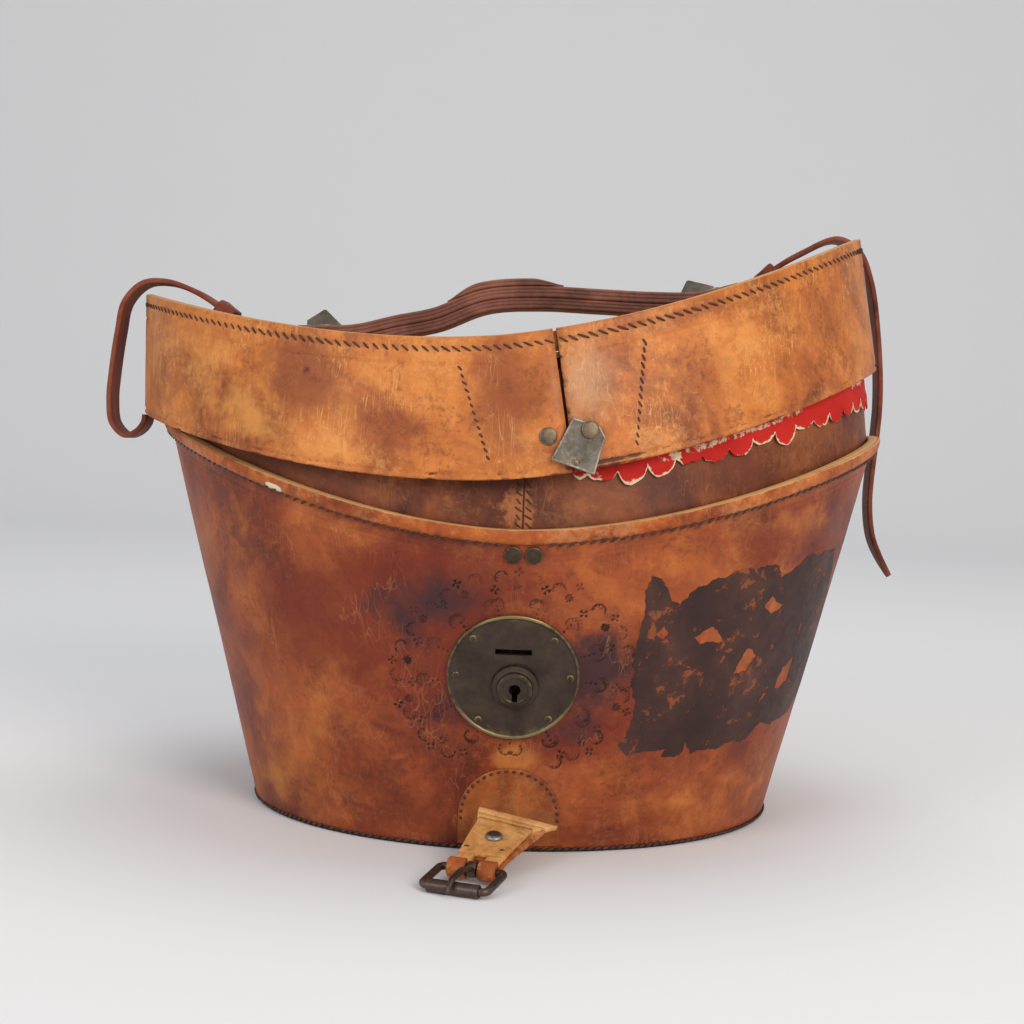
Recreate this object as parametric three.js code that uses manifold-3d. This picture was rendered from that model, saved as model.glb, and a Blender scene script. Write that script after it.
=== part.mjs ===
// Leather top hat box: an oval bucket with a saddle-shaped rim, a collar, a deep lid on a leather
// hinge, a round brass lock, a buckle chape, a laminated handle and two straps.
// Millimetres, +Z up, front towards -Y, origin on the floor under the middle of the base.
import * as THREE from 'three';
import { mergeVertices } from 'three/addons/utils/BufferGeometryUtils.js';
import Module from 'manifold-3d';

const wasm = await Module();
wasm.setup();

// Box, outside sizes
const BASE_HALF_LENGTH = 128.5;
const BASE_HALF_WIDTH = 110.5;
const RIM_HALF_LENGTH = 176;
const RIM_HALF_WIDTH = 146;
const FRONT_HEIGHT = 148.5;
const SIDE_HEIGHT = 190;
const SADDLE_POWER = 1.8;

// Smoothness
const RING_STEPS = 64;
const STRIP_STEPS = 8;
const WALL_ROWS = 3;
const ROD_SIDES = 12;
const BORE_SIDES = 16;
const BOSS_SIDES = 24;
const PLATE_SIDES = 36;
const ARC_STEPS = 14;
const PLATE_RINGS = 4;
const HANDLE_STEPS = 18;
const GRIP_STEPS = 6;
const STRAP_LEFT_STEPS = 30;
const STRAP_RIGHT_STEPS = 36;

// Leather, board and cloth
const GAP = 0.3;
const WALL = 4;
const BASE_THICKNESS = 2.6;
const BASE_STRIP = 10;
const BOARD = 2.6;
const LINING = 1.2;
const WELT = 2.5;
const WELT_DROP = 6.5;
const WELT_LIP = 2.2;
const COLLAR_DEPTH = 25;
const COLLAR_HEADROOM = 26.5;
const COLLAR_LEAN = 6.75;
const TURNOVER = 0.8;
const TURNOVER_WIDTH = 24;
const TURNOVER_FROM = -81;
const TURNOVER_TO = 60;

// Lid, in its closed place
const LID_ROOM = 0.5;
const LID_SEAT = 2.2;
const LID_HEIGHT = 61.3;
const LID_TILT = 3.3;
const LID_FLARE = 4.2;
const LID_WALL = 3.2;
const PANEL_RECESS = 10;
const PANEL = 2.6;
const PANEL_LIP = 1;
const PANEL_RINGS = [0.2, 0.4, 0.6, 0.8];
const LID_LINING_SKIRT = 2.5;
const PATCH = 2;
const PATCH_FROM_X = -22;
const PATCH_TO_X = 66;
const PATCH_LOW = 5;
const PATCH_TOP_DROP = 17;
const SPLIT_X = 26;
const SPLIT_WIDTH = 1.8;
const SPLIT_SLANT = 4.3;

// The lid sits askew: turned about one level axis from its closed place
const ASKEW_ANGLE = 5.471;
const ASKEW_AXIS = new THREE.Vector3(-0.3384, -0.941, 0).normalize();
const ASKEW_PIVOT_FROM_END = 33.5;
const ASKEW_PIVOT_FROM_BACK = 94.8;
const ASKEW_PIVOT_DROP = 63;

// Leather hinge at the back
const HINGE_HALF_WIDTH = 52;
const HINGE_LEAF = 2;
const HINGE_LEAF_HEIGHT = 28;
const HINGE_FOLD_RADIUS = 2.5;
const HINGE_WEB_HEIGHT = 25;

// Round lock
const LOCK_X = 2;
const LOCK_BELOW_MIDDLE = 4.8;
const LOCK_RADIUS = 29;
const LOCK_PLATE = 2;
const BOSS_X = 1;
const BOSS_V = -4;
const BOSS_RADIUS = 10.4;
const BOSS_HEIGHT = 4;
const BOSS_TOP_RADIUS = 7.8;
const KEYHOLE_RADIUS = 2.6;
const KEYHOLE_SLOT = 2.4;
const KEYHOLE_LENGTH = 7;
const HASP_SLOT_V = 12;
const HASP_SLOT_LENGTH = 16;
const HASP_SLOT_WIDTH = 2.6;
const PIN_INSET = 4;
const PIN_RADIUS = 1.9;
const PIN_ANGLES = [0, 45, 135, 180, 234, 310];
const CASE_LENGTH = 46;
const CASE_HEIGHT = 44;
const CASE_DEPTH = 12;
const CASE_WALL = 1.5;
const KEY_POST_RADIUS = 1.2;
const BOLT_LENGTH = 26;
const BOLT_HEIGHT = 8;
const BOLT_THICKNESS = 3;
const BOLT_V = 11;
const BOLT_X = -6;

// Rivets
const RIVET_RADIUS = 3.9;
const RIVET_HEIGHT = 1.6;
const RIVET_EDGE_SHARE = 0.4;
const RIVET_CROWN_RADIUS_SHARE = 0.7;
const RIVET_CROWN_HEIGHT_SHARE = 0.85;
const RIM_RIVET_X = 0.5;
const RIM_RIVET_SPACE = 1.1;
const RIM_RIVET_DROP = 11;

// Loose plate left on the lid front
const LID_RIVET_X = 36.1;
const LID_RIVET_SPACE = 9.8;
const LID_RIVET_UP = 16.5;
const HASP_SIDE = 20;
const HASP_THICKNESS = 1.2;
const HASP_STANDOFF = 0.9;
const HASP_SHANK = 1.5;
const HASP_CORNER_CUT = 6;
const HASP_ANGLE = -25;
const HASP_PIVOT_FROM_LEFT = 11.8;
const HASP_PIVOT_FROM_TOP = 2;

// Chape and buckle at the foot of the front
const CHAPE_X = 2;
const CHAPE_RADIUS = 25;
const CHAPE_TOP = 42;
const CHAPE_FOOT = 3;
const CHAPE_PATCH = 2.2;
const TAB_X = 4;
const TAB_Z = 19;
const TAB_YAW = -20;
const TAB_REACH = 46;
const TAB_ROOT_WIDTH = 32;
const TAB_SIDE_ROOM = 3.3;
const TAB_THICKNESS = 4.6;
const EYE_WALL = 2.4;
const EYE_OFF_FLOOR = 1.4;
const NOTCH = 6;
const BAR_RADIUS = 1.7;
const BUCKLE_WIDTH = 32;
const BUCKLE_LENGTH = 21;
const ROLLER_WALL = 0.9;
const ROLLER_OFF_FLOOR = 0.1;
const TONGUE_WIDTH = 4;
const TONGUE_NECK = 2.8;
const TONGUE_TIP = 1.6;
const TONGUE_WALL = 1.4;
const TONGUE_THICKNESS = 2.2;
const TONGUE_OVERHANG = 4;

// Handle over the lid. Its underside runs through points (share of its length, height above the panel)
const HANDLE_Y = -4;
const HANDLE_WIDTH = 22;
const HANDLE_PLY = 5.5;
const GRIP_PLY = 3.5;
const HANDLE_LEFT_INSET = 68.2;
const HANDLE_RIGHT_INSET = 54.2;
const HANDLE_ARCH = [
  [0.13, 8.3], [0.23, 15.6], [0.32, 20.9], [0.43, 29.7], [0.545, 28.8], [0.68, 21.6], [0.8, 13.2], [0.91, 5.5],
];
const GRIP_FROM = 0.36;
const GRIP_TO = 0.6;
const PLATE_LEFT_IN = 11;
const PLATE_RIGHT_IN = 13;
const HANDLE_PLATE_SIDE = 30;
const HANDLE_PLATE = 1.4;
const PLATE_BEND = 35;
const PLATE_TIP = 0.6;
const HANDLE_RIVETS = { handle_rivet_left: 0.055, handle_rivet_right: 0.945 };

// Straps over the lid ends. Each centre line is given as distances out from the lid's end and up,
// first from the end's upper edge, then from its lower edge
const STRAP_WIDTH = 18;
const STRAP = 2.6;
const STRAP_LEFT_Y = -14;
const STRAP_RIGHT_Y = 38;
const STRAP_LEFT_FOOT = -61.6;
const STRAP_RIGHT_FOOT = -65.6;
const STRAP_LEFT_OVER = [
  [-50.6, -21], [-37.6, -9], [-26.6, -1], [-12.6, 5], [-0.6, 5], [9.9, -3.5], [15.4, -18],
];
const STRAP_LEFT_UNDER = [[15.2, 21], [17.5, 7], [16.5, -5], [9.2, -11.5], [2.7, -10]];
const STRAP_RIGHT_OVER = [
  [-53.6, -21.6], [-39, -8.8], [-22.9, -0.4], [-4.6, 5.4], [5.9, -1.6], [11.2, -16.6],
];
const STRAP_RIGHT_UNDER = [[9.3, 22], [8.8, -15], [1, -67], [1.5, -85], [4.5, -95], [10.2, -107]];
const STRAP_POINT = 16;
const STRAP_TIP_SHARE = 0.12;
const KEEPER_LEFT_AT = 0.16;
const KEEPER_RIGHT_AT = 0.12;
const KEEPER = 2;
const KEEPER_WIDTH = 9;

const rad = THREE.MathUtils.degToRad;

// Sizes that follow from the ones above
const LID_OVERHANG = GAP + WELT + LID_ROOM + LID_WALL;
const LID_HALF_LENGTH = RIM_HALF_LENGTH + LID_OVERHANG;
const LID_HALF_WIDTH = RIM_HALF_WIDTH + LID_OVERHANG;
const COLLAR_HEIGHT = LID_HEIGHT - COLLAR_HEADROOM;
const LOCK_Z = (FRONT_HEIGHT - RIM_RIVET_DROP - RIVET_RADIUS + CHAPE_TOP) / 2 - LOCK_BELOW_MIDDLE;
const PIN_CIRCLE = LOCK_RADIUS - PIN_INSET;
const TAB_END_WIDTH = BUCKLE_WIDTH - 2 * BAR_RADIUS - 2 * TAB_SIDE_ROOM;
const EYE_RADIUS = BAR_RADIUS + GAP + EYE_WALL;
const EYE_Z = EYE_RADIUS + EYE_OFF_FLOOR;
const TAB_DROP = TAB_Z - EYE_Z;
const ROLLER_RADIUS = BAR_RADIUS + GAP + ROLLER_WALL;
const BUCKLE_PITCH = Math.asin((EYE_Z - ROLLER_RADIUS - ROLLER_OFF_FLOOR) / BUCKLE_LENGTH);
const TONGUE_RING = BAR_RADIUS + GAP + TONGUE_WALL;
const RIM_RIVETS = {
  rim_rivet_left: RIM_RIVET_X,
  rim_rivet_right: RIM_RIVET_X + 2 * RIVET_RADIUS + RIM_RIVET_SPACE,
};
const LID_RIVETS = {
  lid_rivet_left: LID_RIVET_X - 2 * RIVET_RADIUS - LID_RIVET_SPACE,
  lid_rivet_right: LID_RIVET_X,
};
const ASKEW_PIVOT = new THREE.Vector3(
  ASKEW_PIVOT_FROM_END - RIM_HALF_LENGTH,
  RIM_HALF_WIDTH - ASKEW_PIVOT_FROM_BACK,
  SIDE_HEIGHT - ASKEW_PIVOT_DROP,
);
const FRONT = rad(-90);
const BACK = rad(90);
const UP = new THREE.Vector3(0, 0, 1);

// Materials
function finish(color, roughness, metalness = 0) {
  return new THREE.MeshStandardMaterial({ color, roughness, metalness });
}
const tanLeather = finish(0xa8642c, 0.55);
const edgeLeather = finish(0xb98a52, 0.7);
const darkLeather = finish(0x4a2a1c, 0.5);
const redCloth = finish(0xc4251c, 0.85);
const board = finish(0xb9a37c, 0.9);
const brass = finish(0x6e6238, 0.4, 0.9);
const steel = finish(0x8a8a88, 0.45, 0.9);

// Solids from rings and sections
function indexed(points, faces) {
  const geometry = new THREE.BufferGeometry();
  const coordinates = points.flatMap((point) => point.toArray());
  geometry.setAttribute('position', new THREE.Float32BufferAttribute(coordinates, 3));
  geometry.setIndex(faces.flat());
  return outward(geometry);
}

function outward(geometry) {
  const at = geometry.getAttribute('position');
  const index = geometry.getIndex();
  const corner = (k) => new THREE.Vector3().fromBufferAttribute(at, index.getX(k));
  let volume = 0;
  for (let k = 0; k < index.count; k += 3) {
    volume += corner(k).dot(corner(k + 1).cross(corner(k + 2)));
  }
  if (volume < 0) {
    for (let k = 0; k < index.count; k += 3) {
      const first = index.getX(k);
      index.setX(k, index.getX(k + 1));
      index.setX(k + 1, first);
    }
  }
  return geometry;
}

// A band of quads between neighbouring rows of points, each row closed on itself
function rowFaces(rowCount, size, wrapRows) {
  const faces = [];
  const bands = wrapRows ? rowCount : rowCount - 1;
  for (let row = 0; row < bands; row += 1) {
    const next = (row + 1) % rowCount;
    for (let k = 0; k < size; k += 1) {
      const side = (k + 1) % size;
      const [a, b, c, d] = [row * size + k, row * size + side, next * size + side, next * size + k];
      faces.push([a, b, c], [a, c, d]);
    }
  }
  return faces;
}

function ringAngles() {
  return Array.from({ length: RING_STEPS }, (_, k) => (k / RING_STEPS) * 2 * Math.PI);
}

// An oval ring whose section is a closed list of point functions of the angle
function ovalRing(section) {
  const points = section.flatMap((place) => ringAngles().map(place));
  return indexed(points, rowFaces(section.length, RING_STEPS, true));
}

// An oval dish whose section runs from one pole on the axis to another
function ovalDish(startPole, section, endPole) {
  const points = section.flatMap((place) => ringAngles().map(place));
  const faces = rowFaces(section.length, RING_STEPS, false);
  const start = points.push(startPole) - 1;
  const end = points.push(endPole) - 1;
  const lastRow = (section.length - 1) * RING_STEPS;
  for (let k = 0; k < RING_STEPS; k += 1) {
    const side = (k + 1) % RING_STEPS;
    faces.push([start, side, k], [end, lastRow + k, lastRow + side]);
  }
  return indexed(points, faces);
}

// A bar lofted through convex sections of equal size
function loft(sections) {
  const size = sections[0].length;
  const faces = rowFaces(sections.length, size, false);
  const last = (sections.length - 1) * size;
  for (let k = 1; k < size - 1; k += 1) {
    faces.push([0, k + 1, k], [last, last + k, last + k + 1]);
  }
  return indexed(sections.flat(), faces);
}

// Joins and cuts
function solid(geometry) {
  const bare = geometry.clone();
  bare.deleteAttribute('normal');
  bare.deleteAttribute('uv');
  const merged = mergeVertices(bare);
  const vertProperties = new Float32Array(merged.getAttribute('position').array);
  const triVerts = new Uint32Array(merged.getIndex().array);
  return new wasm.Manifold(new wasm.Mesh({ numProp: 3, vertProperties, triVerts }));
}

function fromSolid(manifold) {
  const mesh = manifold.getMesh();
  const geometry = new THREE.BufferGeometry();
  geometry.setAttribute('position', new THREE.BufferAttribute(new Float32Array(mesh.vertProperties), 3));
  geometry.setIndex(new THREE.BufferAttribute(new Uint32Array(mesh.triVerts), 1));
  return geometry;
}

function cut(geometry, ...cutters) {
  return fromSolid(cutters.reduce((left, cutter) => left.subtract(solid(cutter)), solid(geometry)));
}

function join(...geometries) {
  const [first, ...rest] = geometries.map(solid);
  return fromSolid(rest.reduce((whole, piece) => whole.add(piece), first));
}

// Shapes of the box
function rise(c) {
  return (SIDE_HEIGHT - FRONT_HEIGHT) * Math.abs(c) ** SADDLE_POWER;
}

function rimZ(t) {
  return FRONT_HEIGHT + rise(Math.cos(t));
}

function wallAxes(z) {
  return {
    a: BASE_HALF_LENGTH + (RIM_HALF_LENGTH - BASE_HALF_LENGTH) * (z / SIDE_HEIGHT),
    b: BASE_HALF_WIDTH + (RIM_HALF_WIDTH - BASE_HALF_WIDTH) * (z / FRONT_HEIGHT),
  };
}

// A point on the wall at height z, moved outwards by out
function wallPoint(t, z, out) {
  const { a, b } = wallAxes(z);
  return new THREE.Vector3((a + out) * Math.cos(t), (b + out) * Math.sin(t), z);
}

// Rows of wall points from one height to another, each height a function of the angle
function wallRows(low, high, out) {
  return Array.from({ length: WALL_ROWS + 1 }, (_, k) => (t) => (
    wallPoint(t, THREE.MathUtils.lerp(low(t), high(t), k / WALL_ROWS), out)));
}

// A point on the collar, h above the rim
function collarPoint(t, h, out) {
  const lean = Math.max(h, 0) * Math.tan(rad(COLLAR_LEAN));
  const rim = rimZ(t);
  const point = wallPoint(t, rim + Math.min(h, 0), out - WALL - GAP - lean);
  return point.setZ(rim + h);
}

// Shapes of the lid, in its closed place: s runs from 0 at its lower edge to 1 at its upper edge
function lidPoint(t, s, out) {
  const c = Math.cos(t);
  const inset = out - LID_FLARE * s;
  const z = rimZ(t) + LID_SEAT + (LID_HEIGHT + LID_TILT * c) * s;
  return new THREE.Vector3((LID_HALF_LENGTH + inset) * c, (LID_HALF_WIDTH + inset) * Math.sin(t), z);
}

function lidTopZ(c) {
  return FRONT_HEIGHT + rise(c) + LID_SEAT + LID_HEIGHT + LID_TILT * c;
}

const PANEL_HALF_LENGTH = LID_HALF_LENGTH - LID_FLARE - LID_WALL - GAP - PANEL;
const PANEL_HALF_WIDTH = LID_HALF_WIDTH - LID_FLARE - LID_WALL - GAP - PANEL;
const HANDLE_LEFT_X = HANDLE_LEFT_INSET - PANEL_HALF_LENGTH;
const HANDLE_RIGHT_X = PANEL_HALF_LENGTH - HANDLE_RIGHT_INSET;
const HANDLE_PLATES = {
  handle_plate_left: HANDLE_LEFT_X + PLATE_LEFT_IN,
  handle_plate_right: HANDLE_RIGHT_X - PLATE_RIGHT_IN,
};

function panelZ(x) {
  return lidTopZ(x / PANEL_HALF_LENGTH) - PANEL_RECESS;
}

// A point of the top panel at a share of its radius, lowered by drop
function panelPoint(t, share, drop) {
  const x = PANEL_HALF_LENGTH * share * Math.cos(t);
  return new THREE.Vector3(x, PANEL_HALF_WIDTH * share * Math.sin(t), panelZ(x) - drop);
}

function panelRings(drop) {
  return PANEL_RINGS.map((share) => (t) => panelPoint(t, share, drop));
}

function pole(z) {
  return new THREE.Vector3(0, 0, z);
}


function frontAngle(x, halfLength) {
  return FRONT + Math.asin(x / halfLength);
}

// A strip bent round the oval between two angles; corner(t) gives its four section points
function bentStrip(from, to, steps, corner) {
  return loft(Array.from({ length: steps + 1 }, (_, k) => corner(from + ((to - from) * k) / steps)));
}

// Scene
const hatBox = new THREE.Group();
const lid = new THREE.Group();
lid.quaternion.setFromAxisAngle(ASKEW_AXIS, rad(ASKEW_ANGLE));
lid.position.copy(ASKEW_PIVOT).sub(ASKEW_PIVOT.clone().applyQuaternion(lid.quaternion));
hatBox.add(lid);

function piece(parent, name, geometry, material) {
  const mesh = new THREE.Mesh(geometry, material);
  mesh.name = name;
  parent.add(mesh);
  return mesh;
}

// A group standing on a surface, with its own +Z along the surface normal
function standOn(parent, point, normal) {
  const group = new THREE.Group();
  group.position.copy(point);
  group.quaternion.setFromUnitVectors(UP, normal);
  parent.add(group);
  return group;
}

function frontNormal(place, t, height) {
  const step = 0.01;
  const along = place(t + step, height).sub(place(t - step, height));
  const up = place(t, height + step).sub(place(t, height - step));
  return along.cross(up).normalize();
}

// A turned piece standing along +Z, from its (radius, height) profile
function turned(profile, sides) {
  const points = profile.map(([r, z]) => new THREE.Vector2(r, z));
  return new THREE.LatheGeometry(points, sides).rotateX(Math.PI / 2);
}

function domeRivet(radius, height) {
  const crown = [radius * RIVET_CROWN_RADIUS_SHARE, height * RIVET_CROWN_HEIGHT_SHARE];
  const profile = [[0, 0], [radius, 0], [radius, height * RIVET_EDGE_SHARE], crown, [0, height]];
  return turned(profile, ROD_SIDES).translate(0, 0, GAP);
}

// Cylinder and box helpers along the wanted axis
function rodAlongX(radius, length, sides = ROD_SIDES) {
  return new THREE.CylinderGeometry(radius, radius, length, sides).rotateZ(Math.PI / 2);
}

function rodAlongY(radius, length) {
  return new THREE.CylinderGeometry(radius, radius, length, ROD_SIDES);
}

function rodAlongZ(radius, length) {
  return rodAlongY(radius, length).rotateX(Math.PI / 2);
}

// Lock frame: on the wall's outer face, +X across, +Y up the wall, +Z outwards
const lockLean = Math.atan((RIM_HALF_WIDTH - BASE_HALF_WIDTH) / FRONT_HEIGHT);
const lock = new THREE.Group();
lock.position.copy(wallPoint(frontAngle(LOCK_X, wallAxes(LOCK_Z).a), LOCK_Z, 0));
lock.rotation.x = Math.PI / 2 + lockLean;
hatBox.add(lock);
lock.updateMatrix();

// How far the wall falls away from the lock frame, at a distance across and up
function wallSag(across, up = 0) {
  const { a, b } = wallAxes(LOCK_Z + up * Math.cos(lockLean));
  const wallY = -b * Math.sqrt(1 - ((LOCK_X + across) / a) ** 2);
  const planeY = lock.position.y - up * Math.sin(lockLean);
  return (wallY - planeY) * Math.cos(lockLean);
}

const CASE_FRONT = -(WALL + wallSag(CASE_LENGTH / 2, -CASE_HEIGHT / 2) + 3 * GAP);

function keyhole(depth) {
  const shape = new THREE.Shape();
  const half = KEYHOLE_SLOT / 2;
  const slotAngle = Math.asin(half / KEYHOLE_RADIUS);
  shape.absarc(0, 0, KEYHOLE_RADIUS, FRONT + slotAngle, FRONT + 2 * Math.PI - slotAngle, false);
  shape.lineTo(-half, -KEYHOLE_LENGTH);
  shape.lineTo(half, -KEYHOLE_LENGTH);
  const options = { depth: 2 * depth, bevelEnabled: false, curveSegments: STRIP_STEPS };
  return new THREE.ExtrudeGeometry(shape, options).translate(BOSS_X, BOSS_V, -depth);
}

function haspSlot(depth) {
  return new THREE.BoxGeometry(HASP_SLOT_LENGTH, HASP_SLOT_WIDTH, 2 * depth).translate(0, HASP_SLOT_V, 0);
}

function caseWindow() {
  const room = 2 * GAP;
  const depth = 2 * CASE_DEPTH;
  const block = new THREE.BoxGeometry(CASE_LENGTH + room, CASE_HEIGHT + room, depth);
  return block.translate(0, 0, CASE_FRONT + GAP - depth / 2).applyMatrix4(lock.matrix);
}

// The bucket
function bodyWall() {
  const top = (t) => rimZ(t) - WELT_LIP - GAP;
  const floor = () => 0;
  const shell = ovalRing([...wallRows(floor, top, 0), ...wallRows(top, floor, -WALL)]);
  const reach = 2 * WALL;
  return cut(shell, keyhole(reach).applyMatrix4(lock.matrix), haspSlot(reach).applyMatrix4(lock.matrix));
}

function basePanel() {
  const outer = -WALL - GAP;
  return ovalDish(pole(0), [
    (t) => wallPoint(t, 0, outer),
    (t) => wallPoint(t, BASE_THICKNESS, outer),
  ], pole(BASE_THICKNESS));
}

function baseStrip() {
  const outer = -WALL - GAP;
  const low = BASE_THICKNESS + GAP;
  return ovalRing([
    (t) => wallPoint(t, low, outer),
    (t) => wallPoint(t, BASE_STRIP, outer),
    (t) => wallPoint(t, BASE_STRIP, outer - BOARD),
    (t) => wallPoint(t, low, outer - BOARD),
  ]);
}

function rimWelt() {
  const outer = GAP + WELT;
  const inner = GAP - WALL;
  return ovalRing([
    (t) => wallPoint(t, rimZ(t) - WELT_DROP, outer),
    (t) => wallPoint(t, rimZ(t), outer),
    (t) => wallPoint(t, rimZ(t), inner),
    (t) => wallPoint(t, rimZ(t) - WELT_LIP, inner),
    (t) => wallPoint(t, rimZ(t) - WELT_LIP, GAP),
    (t) => wallPoint(t, rimZ(t) - WELT_DROP, GAP),
  ]);
}

function collarRing() {
  return ovalRing([
    (t) => collarPoint(t, -COLLAR_DEPTH, 0),
    (t) => collarPoint(t, 0, 0),
    (t) => collarPoint(t, COLLAR_HEIGHT, 0),
    (t) => collarPoint(t, COLLAR_HEIGHT, -BOARD),
    (t) => collarPoint(t, 0, -BOARD),
    (t) => collarPoint(t, -COLLAR_DEPTH, -BOARD),
  ]);
}

function wallBoard() {
  const outer = -WALL - GAP;
  const low = () => BASE_STRIP + GAP;
  const top = (t) => rimZ(t) - COLLAR_DEPTH - GAP;
  const shell = ovalRing([...wallRows(low, top, outer), ...wallRows(top, low, outer - BOARD)]);
  return cut(shell, caseWindow());
}

function crownLining() {
  const outer = -WALL - BOARD - 2 * GAP;
  const inner = outer - LINING;
  const floor = BASE_THICKNESS + GAP;
  const edge = -BOARD - GAP;
  const cup = ovalDish(pole(floor), [
    ...wallRows(() => floor, rimZ, outer),
    (t) => collarPoint(t, COLLAR_HEIGHT, edge),
    (t) => collarPoint(t, COLLAR_HEIGHT, edge - LINING),
    ...wallRows(rimZ, () => floor + LINING, inner),
  ], pole(floor + LINING));
  return cut(cup, caseWindow());
}

function liningTurnover() {
  const low = COLLAR_HEIGHT - TURNOVER_WIDTH;
  return bentStrip(rad(TURNOVER_FROM), rad(TURNOVER_TO), RING_STEPS / 2, (t) => [
    collarPoint(t, low, GAP),
    collarPoint(t, low, GAP + TURNOVER),
    collarPoint(t, COLLAR_HEIGHT, GAP + TURNOVER),
    collarPoint(t, COLLAR_HEIGHT, GAP),
  ]);
}

piece(hatBox, 'body_wall', bodyWall(), tanLeather);
piece(hatBox, 'base_panel', basePanel(), tanLeather);
piece(hatBox, 'base_strip', baseStrip(), edgeLeather);
piece(hatBox, 'rim_welt', rimWelt(), tanLeather);
piece(hatBox, 'collar', collarRing(), edgeLeather);
piece(hatBox, 'wall_board', wallBoard(), board);
piece(hatBox, 'crown_lining', crownLining(), redCloth);
piece(hatBox, 'lining_turnover', liningTurnover(), redCloth);

// The lock
const PLATE_FACE = GAP + LOCK_PLATE;

function lockPlate() {
  const radii = Array.from({ length: PLATE_RINGS + 1 }, (_, k) => (LOCK_RADIUS * k) / PLATE_RINGS);
  const back = radii.map((r) => [r, GAP]);
  const face = radii.map((r) => [r, PLATE_FACE]).reverse();
  const disc = turned([...back, ...face], PLATE_SIDES);
  const at = disc.getAttribute('position');
  for (let k = 0; k < at.count; k += 1) {
    at.setZ(k, at.getZ(k) - wallSag(at.getX(k), at.getY(k)));
  }
  return cut(disc, keyhole(LOCK_RADIUS), haspSlot(LOCK_RADIUS));
}

function lockBoss() {
  const foot = PLATE_FACE + GAP;
  const top = foot + BOSS_HEIGHT;
  const side = [BOSS_RADIUS, foot + BOSS_HEIGHT / 2];
  const dome = turned([[0, foot], [BOSS_RADIUS, foot], side, [BOSS_TOP_RADIUS, top], [0, top]], BOSS_SIDES);
  return cut(dome.translate(BOSS_X, BOSS_V, 0), keyhole(LOCK_RADIUS));
}

function lockCase() {
  const middle = CASE_FRONT - CASE_DEPTH / 2;
  const sides = 2 * CASE_WALL;
  const block = new THREE.BoxGeometry(CASE_LENGTH, CASE_HEIGHT, CASE_DEPTH).translate(0, 0, middle);
  const hollow = new THREE.BoxGeometry(CASE_LENGTH - sides, CASE_HEIGHT - sides, CASE_DEPTH);
  const post = rodAlongZ(KEY_POST_RADIUS, CASE_DEPTH - CASE_WALL);
  const tray = cut(block, hollow.translate(0, 0, middle + CASE_WALL));
  return join(tray, post.translate(BOSS_X, BOSS_V, middle));
}

function lockBolt() {
  const back = CASE_FRONT - CASE_DEPTH + CASE_WALL;
  const bar = new THREE.BoxGeometry(BOLT_LENGTH, BOLT_HEIGHT, BOLT_THICKNESS);
  return bar.translate(BOLT_X, BOLT_V, back + GAP + BOLT_THICKNESS / 2);
}

piece(lock, 'lock_plate', lockPlate(), brass);
piece(lock, 'lock_boss', lockBoss(), brass);
piece(lock, 'lock_case', lockCase(), steel);
piece(lock, 'lock_bolt', lockBolt(), steel);
PIN_ANGLES.forEach((angle, k) => {
  const across = PIN_CIRCLE * Math.cos(rad(angle));
  const up = PIN_CIRCLE * Math.sin(rad(angle));
  const pin = domeRivet(PIN_RADIUS, PIN_RADIUS / 2);
  pin.translate(across, up, PLATE_FACE + GAP - wallSag(across, up));
  piece(lock, `lock_pin_${k + 1}`, pin, brass);
});

for (const [name, x] of Object.entries(RIM_RIVETS)) {
  const z = FRONT_HEIGHT - RIM_RIVET_DROP;
  const t = frontAngle(x, wallAxes(z).a);
  const onWall = (angle, height) => wallPoint(angle, height, 0);
  const seat = standOn(hatBox, onWall(t, z), frontNormal(onWall, t, z));
  piece(seat, name, domeRivet(RIVET_RADIUS, RIVET_HEIGHT), brass);
}

// The chape: a half-round patch on the wall and a folded tab that carries the buckle
function chapePatch() {
  const end = CHAPE_RADIUS - GAP / ARC_STEPS;
  const centre = CHAPE_TOP - CHAPE_RADIUS;
  const section = (x) => {
    const top = centre + Math.sqrt(CHAPE_RADIUS ** 2 - x ** 2);
    const at = (z, out) => wallPoint(frontAngle(CHAPE_X + x, wallAxes(z).a), z, out);
    const outer = GAP + CHAPE_PATCH;
    return [at(CHAPE_FOOT, GAP), at(CHAPE_FOOT, outer), at(top, outer), at(top, GAP)];
  };
  const spread = (k) => -end * Math.cos((Math.PI * k) / ARC_STEPS);
  return loft(Array.from({ length: ARC_STEPS + 1 }, (_, k) => section(spread(k))));
}

const tabOut = 2 * GAP + CHAPE_PATCH + TAB_THICKNESS / 2;
const tabRoot = wallPoint(frontAngle(TAB_X, wallAxes(TAB_Z).a), TAB_Z, tabOut);
const chape = new THREE.Group();
chape.position.copy(tabRoot);
hatBox.add(chape);

// The buckle's frame of reference: at the tab's eye, +X along the bar, -Y outwards
const buckle = new THREE.Group();
buckle.position.set(TAB_REACH * Math.sin(rad(TAB_YAW)), -TAB_REACH * Math.cos(rad(TAB_YAW)), -TAB_DROP);
buckle.rotation.set(BUCKLE_PITCH, 0, rad(TAB_YAW), 'ZXY');
chape.add(buckle);
buckle.updateMatrix();

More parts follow.
